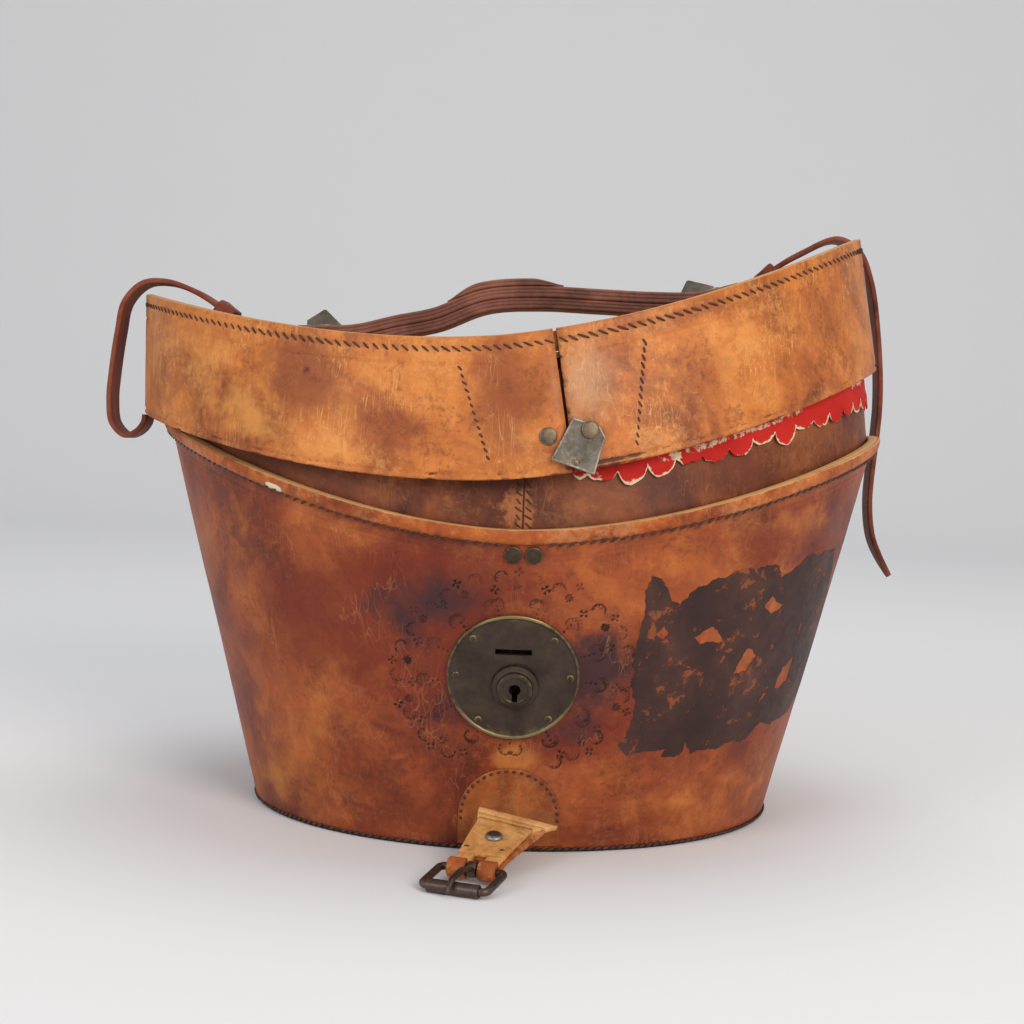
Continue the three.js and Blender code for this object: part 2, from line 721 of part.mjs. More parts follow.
function chapeTab() {
  const across = (width, turn) => new THREE.Vector3(width / 2, 0, 0).applyAxisAngle(UP, turn);
  const section = (centre, half) => [-1, 1].flatMap((side) => [-1, 1].map((up) => {
    const level = new THREE.Vector3(0, 0, (side * up * TAB_THICKNESS) / 2);
    return centre.clone().addScaledVector(half, side).add(level);
  }));
  const root = new THREE.Vector3(0, 0, 0);
  const slab = loft([section(root, across(TAB_ROOT_WIDTH, 0)),
    section(buckle.position.clone(), across(TAB_END_WIDTH, rad(TAB_YAW)))]);
  const fold = rodAlongX(TAB_THICKNESS / 2, TAB_ROOT_WIDTH);
  const eye = rodAlongX(EYE_RADIUS, TAB_END_WIDTH, BORE_SIDES).applyMatrix4(buckle.matrix);
  const bore = rodAlongX(BAR_RADIUS + GAP, 2 * TAB_END_WIDTH, BORE_SIDES).applyMatrix4(buckle.matrix);
  const notch = new THREE.BoxGeometry(NOTCH, 6 * EYE_RADIUS, 4 * EYE_RADIUS).translate(0, -EYE_RADIUS, 0);
  return cut(join(slab, fold, eye), bore, notch.applyMatrix4(buckle.matrix));
}

function buckleFrame() {
  const half = BUCKLE_WIDTH / 2;
  const ball = (x, y) => new THREE.SphereGeometry(BAR_RADIUS, ROD_SIDES, STRIP_STEPS).translate(x, y, 0);
  const side = (x) => rodAlongY(BAR_RADIUS, BUCKLE_LENGTH).translate(x, -BUCKLE_LENGTH / 2, 0);
  const bar = (y) => rodAlongX(BAR_RADIUS, BUCKLE_WIDTH).translate(0, y, 0);
  const corners = [-half, half].flatMap((x) => [0, -BUCKLE_LENGTH].map((y) => ball(x, y)));
  return join(bar(0), bar(-BUCKLE_LENGTH), side(-half), side(half), ...corners);
}

function buckleRoller() {
  const inner = BAR_RADIUS + GAP;
  const half = BUCKLE_WIDTH / 2 - BAR_RADIUS - GAP;
  const outside = [[inner, -half], [ROLLER_RADIUS, -half], [ROLLER_RADIUS, half]];
  const tube = turned([...outside, [inner, half], [inner, -half]], BORE_SIDES);
  return tube.rotateY(Math.PI / 2).translate(0, -BUCKLE_LENGTH, 0);
}

function buckleTongue() {
  const foot = ROLLER_RADIUS + GAP;
  const tip = -BUCKLE_LENGTH - ROLLER_RADIUS - TONGUE_OVERHANG;
  const section = (y, z, width, thickness) => [[-1, 0], [1, 0], [1, 1], [-1, 1]].map(([side, up]) => (
    new THREE.Vector3((side * width) / 2, y, z + up * thickness)));
  const prong = loft([
    section(-BAR_RADIUS - GAP, 0, TONGUE_WIDTH, TONGUE_THICKNESS),
    section(-BUCKLE_LENGTH / 2, foot, TONGUE_WIDTH, TONGUE_THICKNESS),
    section(-BUCKLE_LENGTH - ROLLER_RADIUS, foot, TONGUE_NECK, TONGUE_THICKNESS),
    section(tip, 0, TONGUE_TIP, TONGUE_THICKNESS / 2),
  ]);
  const ring = rodAlongX(TONGUE_RING, TONGUE_WIDTH, BORE_SIDES);
  return cut(join(prong, ring), rodAlongX(BAR_RADIUS + GAP, 2 * TONGUE_WIDTH, BORE_SIDES));
}

piece(hatBox, 'chape_patch', chapePatch(), edgeLeather);
piece(chape, 'chape_tab', chapeTab(), edgeLeather);
const tabSlope = Math.atan(TAB_DROP / TAB_REACH);
const tabNormal = new THREE.Vector3(0, -Math.sin(tabSlope), Math.cos(tabSlope));
const tabMiddle = buckle.position.clone().divideScalar(2).add(new THREE.Vector3(0, 0, TAB_THICKNESS / 2));
const tabRivet = standOn(chape, tabMiddle, tabNormal);
piece(tabRivet, 'chape_rivet', domeRivet(RIVET_RADIUS, RIVET_HEIGHT), brass);
piece(buckle, 'buckle_frame', buckleFrame(), steel);
piece(buckle, 'buckle_roller', buckleRoller(), steel);
piece(buckle, 'buckle_tongue', buckleTongue(), steel);

// The lid
function lidBand() {
  const shell = ovalRing([
    (t) => lidPoint(t, 0, 0),
    (t) => lidPoint(t, 1, 0),
    (t) => lidPoint(t, 1, -LID_WALL),
    (t) => lidPoint(t, 0, -LID_WALL),
  ]);
  const reach = 2 * LID_HEIGHT;
  const saw = new THREE.BoxGeometry(SPLIT_WIDTH, LID_HALF_WIDTH / 2, reach).rotateY(-rad(SPLIT_SLANT));
  return cut(shell, saw.translate(SPLIT_X, -LID_HALF_WIDTH, FRONT_HEIGHT + LID_SEAT + LID_HEIGHT / 2));
}

function frontPatch() {
  const outer = -LID_WALL - GAP;
  const from = frontAngle(PATCH_FROM_X, LID_HALF_LENGTH);
  const to = frontAngle(PATCH_TO_X, LID_HALF_LENGTH);
  const low = PATCH_LOW / LID_HEIGHT;
  const high = 1 - PATCH_TOP_DROP / LID_HEIGHT;
  return bentStrip(from, to, STRIP_STEPS, (t) => [
    lidPoint(t, low, outer),
    lidPoint(t, low, outer - PATCH),
    lidPoint(t, high, outer - PATCH),
    lidPoint(t, high, outer),
  ]);
}

function lidTop() {
  const low = 1 - (PANEL_RECESS + PANEL) / LID_HEIGHT;
  const edge = (drop) => (t) => lidPoint(t, low, -LID_WALL - GAP).setZ(panelPoint(t, 1, drop).z);
  const side = (drop) => [...panelRings(drop), (t) => panelPoint(t, 1, drop), edge(drop)];
  return ovalDish(pole(panelZ(0)), [...side(0), ...side(PANEL).reverse()], pole(panelZ(0) - PANEL));
}

function lidLip() {
  const outer = -LID_WALL - GAP;
  const low = 1 - (PANEL_RECESS - GAP) / LID_HEIGHT;
  const high = 1 - PANEL_LIP / LID_HEIGHT;
  const foot = (t, out) => lidPoint(t, low, out).setZ(panelPoint(t, 1, -GAP).z);
  return ovalRing([
    (t) => foot(t, outer),
    (t) => lidPoint(t, high, outer),
    (t) => lidPoint(t, high, outer - PANEL),
    (t) => foot(t, outer - PANEL),
  ]);
}

function lidLining() {
  const skin = PANEL + 2 * GAP;
  const skirt = skin + LID_LINING_SKIRT;
  const edge = 1 - (PATCH + GAP) / PANEL_HALF_WIDTH;
  const inner = edge - LINING / PANEL_HALF_WIDTH;
  return ovalDish(pole(panelZ(0) - skin), [
    ...panelRings(skin),
    (t) => panelPoint(t, edge, skin),
    (t) => panelPoint(t, edge, skirt),
    (t) => panelPoint(t, inner, skirt),
    (t) => panelPoint(t, inner, skin + LINING),
    ...panelRings(skin + LINING).reverse(),
  ], pole(panelZ(0) - skin - LINING));
}

piece(lid, 'lid_band', lidBand(), tanLeather);
piece(lid, 'lid_front_patch', frontPatch(), tanLeather);
piece(lid, 'lid_top', lidTop(), tanLeather);
piece(lid, 'lid_lip', lidLip(), edgeLeather);
piece(lid, 'lid_lining', lidLining(), redCloth);

const onBand = (t, s) => lidPoint(t, s, 0);
const bandSeat = {};
for (const [name, x] of Object.entries(LID_RIVETS)) {
  const t = frontAngle(x, LID_HALF_LENGTH);
  const up = LID_RIVET_UP / LID_HEIGHT;
  bandSeat[name] = { point: onBand(t, up), normal: frontNormal(onBand, t, up) };
}

// The loose plate turns on the right rivet, whose shank passes through it
const haspLift = HASP_STANDOFF + HASP_THICKNESS;

function haspPlate() {
  const half = HASP_SIDE / 2;
  const shape = new THREE.Shape();
  shape.moveTo(-half, -half);
  shape.lineTo(half, -half);
  shape.lineTo(half, half - HASP_CORNER_CUT);
  shape.lineTo(half - HASP_CORNER_CUT, half);
  shape.lineTo(-half, half);
  const plate = new THREE.ExtrudeGeometry(shape, { depth: HASP_THICKNESS, bevelEnabled: false });
  plate.translate(half - HASP_PIVOT_FROM_LEFT, HASP_PIVOT_FROM_TOP - half, HASP_STANDOFF);
  return cut(plate.rotateZ(rad(HASP_ANGLE)), rodAlongZ(HASP_SHANK + GAP, 4 * haspLift));
}

function shankedRivet() {
  const head = domeRivet(RIVET_RADIUS, RIVET_HEIGHT).translate(0, 0, haspLift);
  const shank = rodAlongZ(HASP_SHANK, haspLift + GAP).translate(0, 0, (haspLift + GAP) / 2 + GAP);
  return join(head, shank);
}

const leftSeat = standOn(lid, bandSeat.lid_rivet_left.point, bandSeat.lid_rivet_left.normal);
piece(leftSeat, 'lid_rivet_left', domeRivet(RIVET_RADIUS, RIVET_HEIGHT), brass);
const rightSeat = standOn(lid, bandSeat.lid_rivet_right.point, bandSeat.lid_rivet_right.normal);
piece(rightSeat, 'lid_rivet_right', shankedRivet(), brass);
const haspTurn = new THREE.Group();
haspTurn.position.copy(bandSeat.lid_rivet_right.point);
const haspOut = bandSeat.lid_rivet_right.normal;
const haspAcross = UP.clone().cross(haspOut).normalize();
const haspAxes = new THREE.Matrix4().makeBasis(haspAcross, haspOut.clone().cross(haspAcross), haspOut);
haspTurn.quaternion.setFromRotationMatrix(haspAxes);
lid.add(haspTurn);
piece(haspTurn, 'hasp_plate', haspPlate(), steel);

function panelSlope(x) {
  const step = 1;
  return (panelZ(x + step) - panelZ(x - step)) / (2 * step);
}

// Height of a flat piece laid on the curved panel, touching it at its ends
function flatSeat(x, half) {
  const ends = [-half, half].map((d) => panelZ(x + d) - panelSlope(x) * d);
  return Math.max(...ends) + 2 * GAP;
}

const plateHalf = HANDLE_PLATE_SIDE * Math.SQRT1_2;

function plateTop(centre, x) {
  const slope = panelSlope(centre);
  return flatSeat(centre, plateHalf) + slope * (x - centre) + HANDLE_PLATE / Math.cos(Math.atan(slope));
}

// The handle: two plies and a grip ply, on diamond plates
function archPoint([share, height]) {
  const x = THREE.MathUtils.lerp(HANDLE_LEFT_X, HANDLE_RIGHT_X, share);
  return [x, panelZ(x) + height];
}

const handleLine = new THREE.CatmullRomCurve3([
  [HANDLE_LEFT_X, plateTop(HANDLE_PLATES.handle_plate_left, HANDLE_LEFT_X) + GAP],
  ...HANDLE_ARCH.map(archPoint),
  [HANDLE_RIGHT_X, plateTop(HANDLE_PLATES.handle_plate_right, HANDLE_RIGHT_X) + GAP],
].map(([x, z]) => new THREE.Vector3(x, HANDLE_Y, z)));

// A ply of leather following a line in the XZ plane, between two distances above it
function ply(line, width, low, high, from, to, steps, narrow = () => 1) {
  const sections = Array.from({ length: steps + 1 }, (_, k) => {
    const u = from + ((to - from) * k) / steps;
    const along = line.getTangentAt(u);
    const up = new THREE.Vector3(-along.z, 0, along.x).normalize();
    const half = (width / 2) * narrow(k / steps);
    const centre = line.getPointAt(u);
    return [[-1, low], [1, low], [1, high], [-1, high]].map(([side, lift]) => (
      centre.clone().addScaledVector(up, lift).add(new THREE.Vector3(0, side * half, 0))));
  });
  return loft(sections);
}

const upperPly = HANDLE_PLY + GAP;
const gripPly = upperPly + HANDLE_PLY + GAP;
const handlePly = (low, thickness, from, to, steps) => (
  ply(handleLine, HANDLE_WIDTH, low, low + thickness, from, to, steps));
piece(lid, 'handle_lower', handlePly(0, HANDLE_PLY, 0, 1, HANDLE_STEPS), darkLeather);
piece(lid, 'handle_upper', handlePly(upperPly, HANDLE_PLY, 0, 1, HANDLE_STEPS), darkLeather);
piece(lid, 'handle_grip', handlePly(gripPly, GRIP_PLY, GRIP_FROM, GRIP_TO, GRIP_STEPS), darkLeather);

for (const [name, share] of Object.entries(HANDLE_RIVETS)) {
  const along = handleLine.getTangentAt(share);
  const up = new THREE.Vector3(-along.z, 0, along.x).normalize();
  const seat = handleLine.getPointAt(share).addScaledVector(up, gripPly);
  piece(standOn(lid, seat, up), name, domeRivet(RIVET_RADIUS, RIVET_HEIGHT), brass);
}

// A square plate set corner-on under the handle end, its far corner bent up
function handlePlate(slope) {
  const bendAt = HANDLE_WIDTH / 2 + 2 * GAP;
  const reach = plateHalf - bendAt;
  const section = (span, y, z) => [[-span, 0], [span, 0], [span, HANDLE_PLATE], [-span, HANDLE_PLATE]]
    .map(([across, up]) => new THREE.Vector3(across, y, up + z));
  const bend = rad(PLATE_BEND);
  const plate = loft([
    section(PLATE_TIP, -plateHalf, 0),
    section(plateHalf, 0, 0),
    section(reach, bendAt, 0),
    section(PLATE_TIP, bendAt + reach * Math.cos(bend), reach * Math.sin(bend)),
  ]);
  return plate.rotateY(-Math.atan(slope));
}

for (const [name, x] of Object.entries(HANDLE_PLATES)) {
  const plate = piece(lid, name, handlePlate(panelSlope(x)), steel);
  plate.position.set(x, HANDLE_Y, flatSeat(x, plateHalf));
}

// Straps over the lid ends, and the keepers round them
function strapLine(side, y, foot, over, under) {
  const upper = [side * (LID_HALF_LENGTH - LID_FLARE), lidTopZ(side)];
  const lower = [side * LID_HALF_LENGTH, SIDE_HEIGHT + LID_SEAT];
  const from = (edge) => ([out, up]) => [edge[0] + side * out, edge[1] + up];
  const footX = upper[0] + side * foot;
  const start = [footX, panelZ(footX) + 3 * GAP + STRAP / 2];
  const places = [start, ...over.map(from(upper)), ...under.map(from(lower))];
  return new THREE.CatmullRomCurve3(places.map(([x, z]) => new THREE.Vector3(x, y, z)));
}

const leftStrapLine = strapLine(-1, STRAP_LEFT_Y, STRAP_LEFT_FOOT, STRAP_LEFT_OVER, STRAP_LEFT_UNDER);
const rightStrapLine = strapLine(1, STRAP_RIGHT_Y, STRAP_RIGHT_FOOT, STRAP_RIGHT_OVER, STRAP_RIGHT_UNDER);
const pointShare = STRAP_POINT / rightStrapLine.getLength();
const pointed = (share) => Math.max(STRAP_TIP_SHARE, Math.min(1, (1 - share) / pointShare));
const strapPly = (line, steps, narrow) => ply(line, STRAP_WIDTH, -STRAP / 2, STRAP / 2, 0, 1, steps, narrow);
piece(lid, 'strap_left', strapPly(leftStrapLine, STRAP_LEFT_STEPS), darkLeather);
piece(lid, 'strap_right', strapPly(rightStrapLine, STRAP_RIGHT_STEPS, pointed), darkLeather);

function keeperLoop() {
  const innerWidth = STRAP_WIDTH + 2 * GAP;
  const innerHeight = STRAP + 4 * GAP;
  const outer = new THREE.BoxGeometry(KEEPER_WIDTH, innerWidth + 2 * KEEPER, innerHeight + 2 * KEEPER);
  return cut(outer, new THREE.BoxGeometry(2 * KEEPER_WIDTH, innerWidth, innerHeight));
}

for (const [name, line, share] of [['strap_keeper_left', leftStrapLine, KEEPER_LEFT_AT],
  ['strap_keeper_right', rightStrapLine, KEEPER_RIGHT_AT]]) {
  const along = line.getTangentAt(share);
  const keeper = piece(lid, name, keeperLoop(), darkLeather);
  keeper.position.copy(line.getPointAt(share));
  keeper.rotation.y = -Math.atan2(along.z, along.x);
}

for (const [name, line] of [['strap_rivet_left', leftStrapLine], ['strap_rivet_right', rightStrapLine]]) {
  const share = RIVET_RADIUS / line.getLength();
  const along = line.getTangentAt(share);
  const up = new THREE.Vector3(-along.z, 0, along.x).normalize();
  up.multiplyScalar(Math.sign(up.z));
  const seat = line.getPointAt(share).addScaledVector(up, STRAP / 2);
  piece(standOn(lid, seat, up), name, domeRivet(RIVET_RADIUS, RIVET_HEIGHT), brass);
}

// The leather hinge: a leaf on the box, a fold with a web, and a leaf on the lid
const foldZ = FRONT_HEIGHT - HINGE_FOLD_RADIUS;
const foldY = wallAxes(foldZ).b + 2 * GAP + WELT + HINGE_FOLD_RADIUS;
const hingeSpan = Math.asin(HINGE_HALF_WIDTH / RIM_HALF_LENGTH);

function boxLeaf() {
  const top = (t) => rimZ(t) - WELT_DROP - GAP;
  return bentStrip(BACK - hingeSpan, BACK + hingeSpan, STRIP_STEPS, (t) => [
    wallPoint(t, top(t) - HINGE_LEAF_HEIGHT, GAP),
    wallPoint(t, top(t) - HINGE_LEAF_HEIGHT, GAP + HINGE_LEAF),
    wallPoint(t, top(t), GAP + HINGE_LEAF),
    wallPoint(t, top(t), GAP),
  ]);
}

function lidLeaf() {
  const high = HINGE_LEAF_HEIGHT / LID_HEIGHT;
  return bentStrip(BACK - hingeSpan, BACK + hingeSpan, STRIP_STEPS, (t) => [
    lidPoint(t, 0, GAP),
    lidPoint(t, 0, GAP + HINGE_LEAF),
    lidPoint(t, high, GAP + HINGE_LEAF),
    lidPoint(t, high, GAP),
  ]);
}

function hingeFold() {
  const roll = rodAlongX(HINGE_FOLD_RADIUS, HINGE_HALF_WIDTH).translate(0, foldY, foldZ);
  const webBack = LID_HALF_WIDTH + 5 * GAP + 2 * HINGE_LEAF;
  const web = new THREE.BoxGeometry(HINGE_HALF_WIDTH, HINGE_LEAF, HINGE_WEB_HEIGHT);
  const shelf = new THREE.BoxGeometry(HINGE_HALF_WIDTH, webBack - foldY, HINGE_LEAF);
  return join(roll, web.translate(0, webBack - HINGE_LEAF / 2, foldZ + (HINGE_WEB_HEIGHT - HINGE_LEAF) / 2),
    shelf.translate(0, (webBack + foldY) / 2, foldZ));
}

piece(hatBox, 'hinge_leaf_box', boxLeaf(), tanLeather);
piece(hatBox, 'hinge_fold', hingeFold(), tanLeather);
piece(lid, 'hinge_leaf_lid', lidLeaf(), tanLeather);

export default hatBox;
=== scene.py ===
# Leather top hat box: saddle leather bucket, collar, deep lid, round brass lock, buckle tab, handle and straps
# Shapes are worked out in millimetres and made in metres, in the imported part's own frame
import math

import bmesh
import bpy
import numpy as np
from mathutils import Matrix, Vector, noise
from mathutils.geometry import delaunay_2d_cdt


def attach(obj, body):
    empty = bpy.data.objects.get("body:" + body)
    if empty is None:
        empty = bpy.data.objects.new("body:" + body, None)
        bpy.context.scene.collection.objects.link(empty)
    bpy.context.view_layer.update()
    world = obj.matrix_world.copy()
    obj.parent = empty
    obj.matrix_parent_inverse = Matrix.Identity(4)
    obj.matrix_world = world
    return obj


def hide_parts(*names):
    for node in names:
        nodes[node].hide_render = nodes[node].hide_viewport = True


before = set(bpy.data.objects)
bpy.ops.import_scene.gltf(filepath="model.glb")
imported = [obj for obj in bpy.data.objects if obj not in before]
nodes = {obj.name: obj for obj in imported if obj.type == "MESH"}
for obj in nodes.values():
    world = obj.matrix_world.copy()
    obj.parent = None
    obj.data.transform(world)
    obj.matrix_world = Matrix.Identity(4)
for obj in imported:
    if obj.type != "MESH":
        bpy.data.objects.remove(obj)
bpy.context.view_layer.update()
scene = bpy.context.scene
mm = 0.001
tau = 2 * math.pi
frontTurn = -math.pi / 2
backTurn = math.pi / 2
print("frame loaded with", len(nodes), "nodes")

# forms shared by many pieces
boxForm = {
    "baseLength": 128.5, "baseWidth": 110.5, "rimLength": 176.0, "rimWidth": 146.0,
    "front": 148.5, "side": 190.0, "saddle": 1.8, "wall": 4.0, "gap": 0.3,
}
lidForm = {
    "length": 182.5, "width": 152.5, "seat": 2.2, "height": 61.3, "tilt": 3.3, "flare": 4.2, "wall": 3.2,
    "recess": 10.0, "panel": 2.6, "turn": 5.471, "axis": (-0.3384, -0.941, 0.0), "pivot": (-142.5, 51.2, 127.0),
}
gap = boxForm["gap"]


def rimHeight(t):
    return boxForm["front"] + (boxForm["side"] - boxForm["front"]) * np.abs(np.cos(t)) ** boxForm["saddle"]


def wallAxes(z):
    a = boxForm["baseLength"] + (boxForm["rimLength"] - boxForm["baseLength"]) * z / boxForm["side"]
    b = boxForm["baseWidth"] + (boxForm["rimWidth"] - boxForm["baseWidth"]) * z / boxForm["front"]
    return a, b


def wallAt(t, z, out=0.0):
    t, z, out = np.broadcast_arrays(*(np.asarray(v, float) for v in (t, z, out)))
    a, b = wallAxes(z)
    return np.stack([(a + out) * np.cos(t), (b + out) * np.sin(t), z], -1)


def collarAt(t, h, out=0.0, lean=6.75):  # h above the rim
    t, h, out = np.broadcast_arrays(*(np.asarray(v, float) for v in (t, h, out)))
    rim = rimHeight(t)
    inset = boxForm["wall"] + gap + np.maximum(h, 0) * math.tan(math.radians(lean))
    points = wallAt(t, rim + np.minimum(h, 0), out - inset)
    points[..., 2] = rim + h
    return points


def lidAt(t, s, out=0.0):  # s from 0 at the lower edge to 1 at the upper, lid closed
    t, s, out = np.broadcast_arrays(*(np.asarray(v, float) for v in (t, s, out)))
    c = np.cos(t)
    inset = out - lidForm["flare"] * s
    z = rimHeight(t) + lidForm["seat"] + (lidForm["height"] + lidForm["tilt"] * c) * s
    return np.stack([(lidForm["length"] + inset) * c, (lidForm["width"] + inset) * np.sin(t), z], -1)


panelLength = lidForm["length"] - lidForm["flare"] - lidForm["wall"] - gap - lidForm["panel"]
panelWidth = lidForm["width"] - lidForm["flare"] - lidForm["wall"] - gap - lidForm["panel"]


def panelHeight(x):
    c = np.asarray(x, float) / panelLength
    rise = (boxForm["side"] - boxForm["front"]) * np.abs(c) ** boxForm["saddle"]
    return boxForm["front"] + rise + lidForm["seat"] + lidForm["height"] + lidForm["tilt"] * c - lidForm["recess"]


def panelAt(t, share, drop=0.0):
    x = panelLength * share * np.cos(t)
    y = panelWidth * share * np.sin(t)
    return np.stack(np.broadcast_arrays(x, y, panelHeight(x) - drop), -1)


askewTurn = np.array(Matrix.Rotation(math.radians(lidForm["turn"]), 3, Vector(lidForm["axis"]).normalized()))
askewPivot = np.array(lidForm["pivot"])


def seatLid(points):  # the closed lid's points, moved to where the lid sits askew
    return (np.asarray(points, float) - askewPivot) @ askewTurn.T + askewPivot


def turnLid(vectors):
    return np.asarray(vectors, float) @ askewTurn.T


def frontAngle(x, half):
    return frontTurn + math.asin(x / half)


def smooth(low, high, value):
    k = np.clip((np.asarray(value, float) - low) / (high - low), 0, 1)
    return k * k * (3 - 2 * k)


def dents(points, size, seed=0.0):  # soft random unevenness, about -0.6 to 0.6
    flat = np.asarray(points, float).reshape(-1, 3) / size + seed
    return np.array([noise.noise(Vector(p)) for p in flat]).reshape(np.shape(points)[:-1])


# meshes
def gridFaces(rowCount, columnCount, wrapRows, wrapColumns):
    rows, columns = np.meshgrid(
        np.arange(rowCount if wrapRows else rowCount - 1),
        np.arange(columnCount if wrapColumns else columnCount - 1), indexing="ij")
    nextRow, nextColumn = (rows + 1) % rowCount, (columns + 1) % columnCount
    corners = [rows * columnCount + columns, rows * columnCount + nextColumn,
               nextRow * columnCount + nextColumn, nextRow * columnCount + columns]
    return np.stack(corners, -1).reshape(-1, 4).tolist()


def poleFaces(rowCount, columnCount):  # fans that close the first and last rings to the two points after them
    first = rowCount * columnCount
    faces = []
    for c in range(columnCount):
        n = (c + 1) % columnCount
        faces += [[first, n, c], [first + 1, first - columnCount + c, first - columnCount + n]]
    return faces


def linkObject(name, data):
    made = bpy.data.objects.new(name, data)
    scene.collection.objects.link(made)
    return made


def makeObject(name, points, faces, marks=None, flatAngle=None):
    mesh = bpy.data.meshes.new(name)
    mesh.from_pydata((np.asarray(points, float).reshape(-1, 3) * mm).tolist(), [], faces)
    for mark, values in (marks or {}).items():
        layer = mesh.attributes.new(mark, "FLOAT", "POINT")
        layer.data.foreach_set("value", np.asarray(values, np.float32).ravel())
    work = bmesh.new()
    work.from_mesh(mesh)
    if work.calc_volume(signed=True) < 0:
        bmesh.ops.reverse_faces(work, faces=work.faces)
    work.to_mesh(mesh)
    work.free()
    mesh.shade_smooth()
    if flatAngle:
        mesh.set_sharp_from_angle(angle=math.radians(flatAngle))
    return linkObject(name, mesh)


def paint(made, material):
    made.data.materials.clear()
    made.data.materials.append(material)


def place(made, material, body, slot, *stoodFor):
    paint(made, material)
    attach(made, body)
    if stoodFor:
        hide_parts(*stoodFor)


def fullTurn(count):
    return np.arange(count) * tau / count


def sweepPart(rows, closed):  # rows run round a section, each row along the path
    rows = np.asarray(rows, float)
    rowCount, columnCount = rows.shape[:2]
    faces = gridFaces(rowCount, columnCount, True, closed)
    if not closed:
        faces.append([r * columnCount for r in range(rowCount)])
        faces.append([r * columnCount + columnCount - 1 for r in reversed(range(rowCount))])
    return rows.reshape(-1, 3), faces


def sweepMesh(name, rows, closed, marks=None, flatAngle=None):
    return makeObject(name, *sweepPart(rows, closed), marks, flatAngle)


def dishMesh(name, rows, startPole, endPole, marks=None):  # rings between two poles
    rows = np.asarray(rows, float)
    rowCount, columnCount = rows.shape[:2]
    faces = gridFaces(rowCount, columnCount, False, True) + poleFaces(rowCount, columnCount)
    points = np.concatenate([rows.reshape(-1, 3), [startPole, endPole]])
    if marks:
        marks = {k: np.concatenate([np.ravel(v), [0, 0]]) for k, v in marks.items()}
    return makeObject(name, points, faces, marks)


def signedVolume(points, faces):
    points = np.asarray(points, float)
    return sum(float(np.dot(points[f[0]], np.cross(points[f[k]], points[f[k + 1]])))
               for f in faces for k in range(1, len(f) - 1))


def gather(name, parts, marks=None, flatAngle=None):  # several closed parts as one mesh, each facing outwards
    points, faces = [], []
    for partPoints, partFaces in parts:
        partPoints = np.asarray(partPoints, float).reshape(-1, 3)
        if signedVolume(partPoints - partPoints.mean(0), partFaces) < 0:
            partFaces = [list(f)[::-1] for f in partFaces]
        faces += [[k + len(points) for k in f] for f in partFaces]
        points += partPoints.tolist()
    return makeObject(name, points, faces, marks, flatAngle)


def roundSection(low, high, outer, inner, radius, outerRows=2, innerRows=2, steps=3):
    # (height, out) round a leather strip's section with eased edges, from the outer lower corner upwards
    arc = [math.radians(90 * k / steps) for k in range(steps + 1)]
    r = radius
    section = [(low + r - r * math.cos(a), outer - r + r * math.sin(a)) for a in arc]
    section += [(low + r + (high - low - 2 * r) * k / outerRows, outer) for k in range(1, outerRows)]
    section += [(high - r + r * math.sin(a), outer - r + r * math.cos(a)) for a in arc]
    section += [(high - r + r * math.cos(a), inner + r - r * math.sin(a)) for a in arc]
    section += [(high - r - (high - low - 2 * r) * k / innerRows, inner) for k in range(1, innerRows)]
    section += [(low + r - r * math.sin(a), inner + r - r * math.cos(a)) for a in arc]
    return section


def slabSection(half, low, high, radius=0.6, steps=3, flat=4):  # (across, up) round a strap's section
    arc = [math.radians(90 * k / steps) for k in range(steps + 1)]
    r = radius
    loop = []
    for cx, cy, start in ((half - r, high - r, 0), (-half + r, high - r, 90),
                          (-half + r, low + r, 180), (half - r, low + r, 270)):
        turn = math.radians(start)
        loop += [(cx + r * math.cos(a + turn), cy + r * math.sin(a + turn)) for a in arc]
        if start in (0, 180):
            way = 1 if start == 0 else -1
            span = (half - r) * way
            loop += [(span - 2 * span * k / flat, cy + r * way) for k in range(1, flat)]
    return loop


def turnedMesh(profile, sides):  # points and faces of a lathe round +Z, its profile starting and ending on the axis
    angles = fullTurn(sides)
    rings = [np.stack([r * np.cos(angles), r * np.sin(angles), np.full(sides, z)], -1) for r, z in profile[1:-1]]
    points = np.concatenate([np.concatenate(rings), [[0, 0, profile[0][1]], [0, 0, profile[-1][1]]]])
    return points, gridFaces(len(rings), sides, False, True) + poleFaces(len(rings), sides)


def unitRows(vectors):
    return vectors / np.linalg.norm(vectors, axis=1)[:, None]


def smoothLine(points, count):  # centripetal spline through points, evenly spaced
    p = [np.array(q, float) for q in points]
    p = [2 * p[0] - p[1], *p, 2 * p[-1] - p[-2]]
    fine = []
    for a, b, c, d in zip(p, p[1:], p[2:], p[3:]):
        gaps = [max(np.linalg.norm(v - u) ** 0.5, 1e-4) for u, v in ((a, b), (b, c), (c, d))]
        m1 = ((b - a) / gaps[0] - (c - a) / (gaps[0] + gaps[1]) + (c - b) / gaps[1]) * gaps[1]
        m2 = ((c - b) / gaps[1] - (d - b) / (gaps[1] + gaps[2]) + (d - c) / gaps[2]) * gaps[1]
        for u in np.arange(0, 1, 0.02):
            fine.append(b + m1 * u + (-3 * b + 3 * c - 2 * m1 - m2) * u ** 2 + (2 * b - 2 * c + m1 + m2) * u ** 3)
    fine = np.array([*fine, p[-2]])
    run = np.concatenate([[0], np.cumsum(np.linalg.norm(np.diff(fine, axis=0), axis=1))])
    at = np.linspace(0, run[-1], count)
    return np.stack([np.interp(at, run, fine[:, k]) for k in range(3)], -1), run[-1]


def frameOn(point, normal, upHint=(0, 0, 1)):  # a matrix standing on a surface, +Z outwards
    z = Vector(normal).normalized()
    x = Vector(upHint).cross(z).normalized()
    y = z.cross(x)
    m = Matrix((x, y, z)).transposed().to_4x4()
    m.translation = Vector(point)
    return m


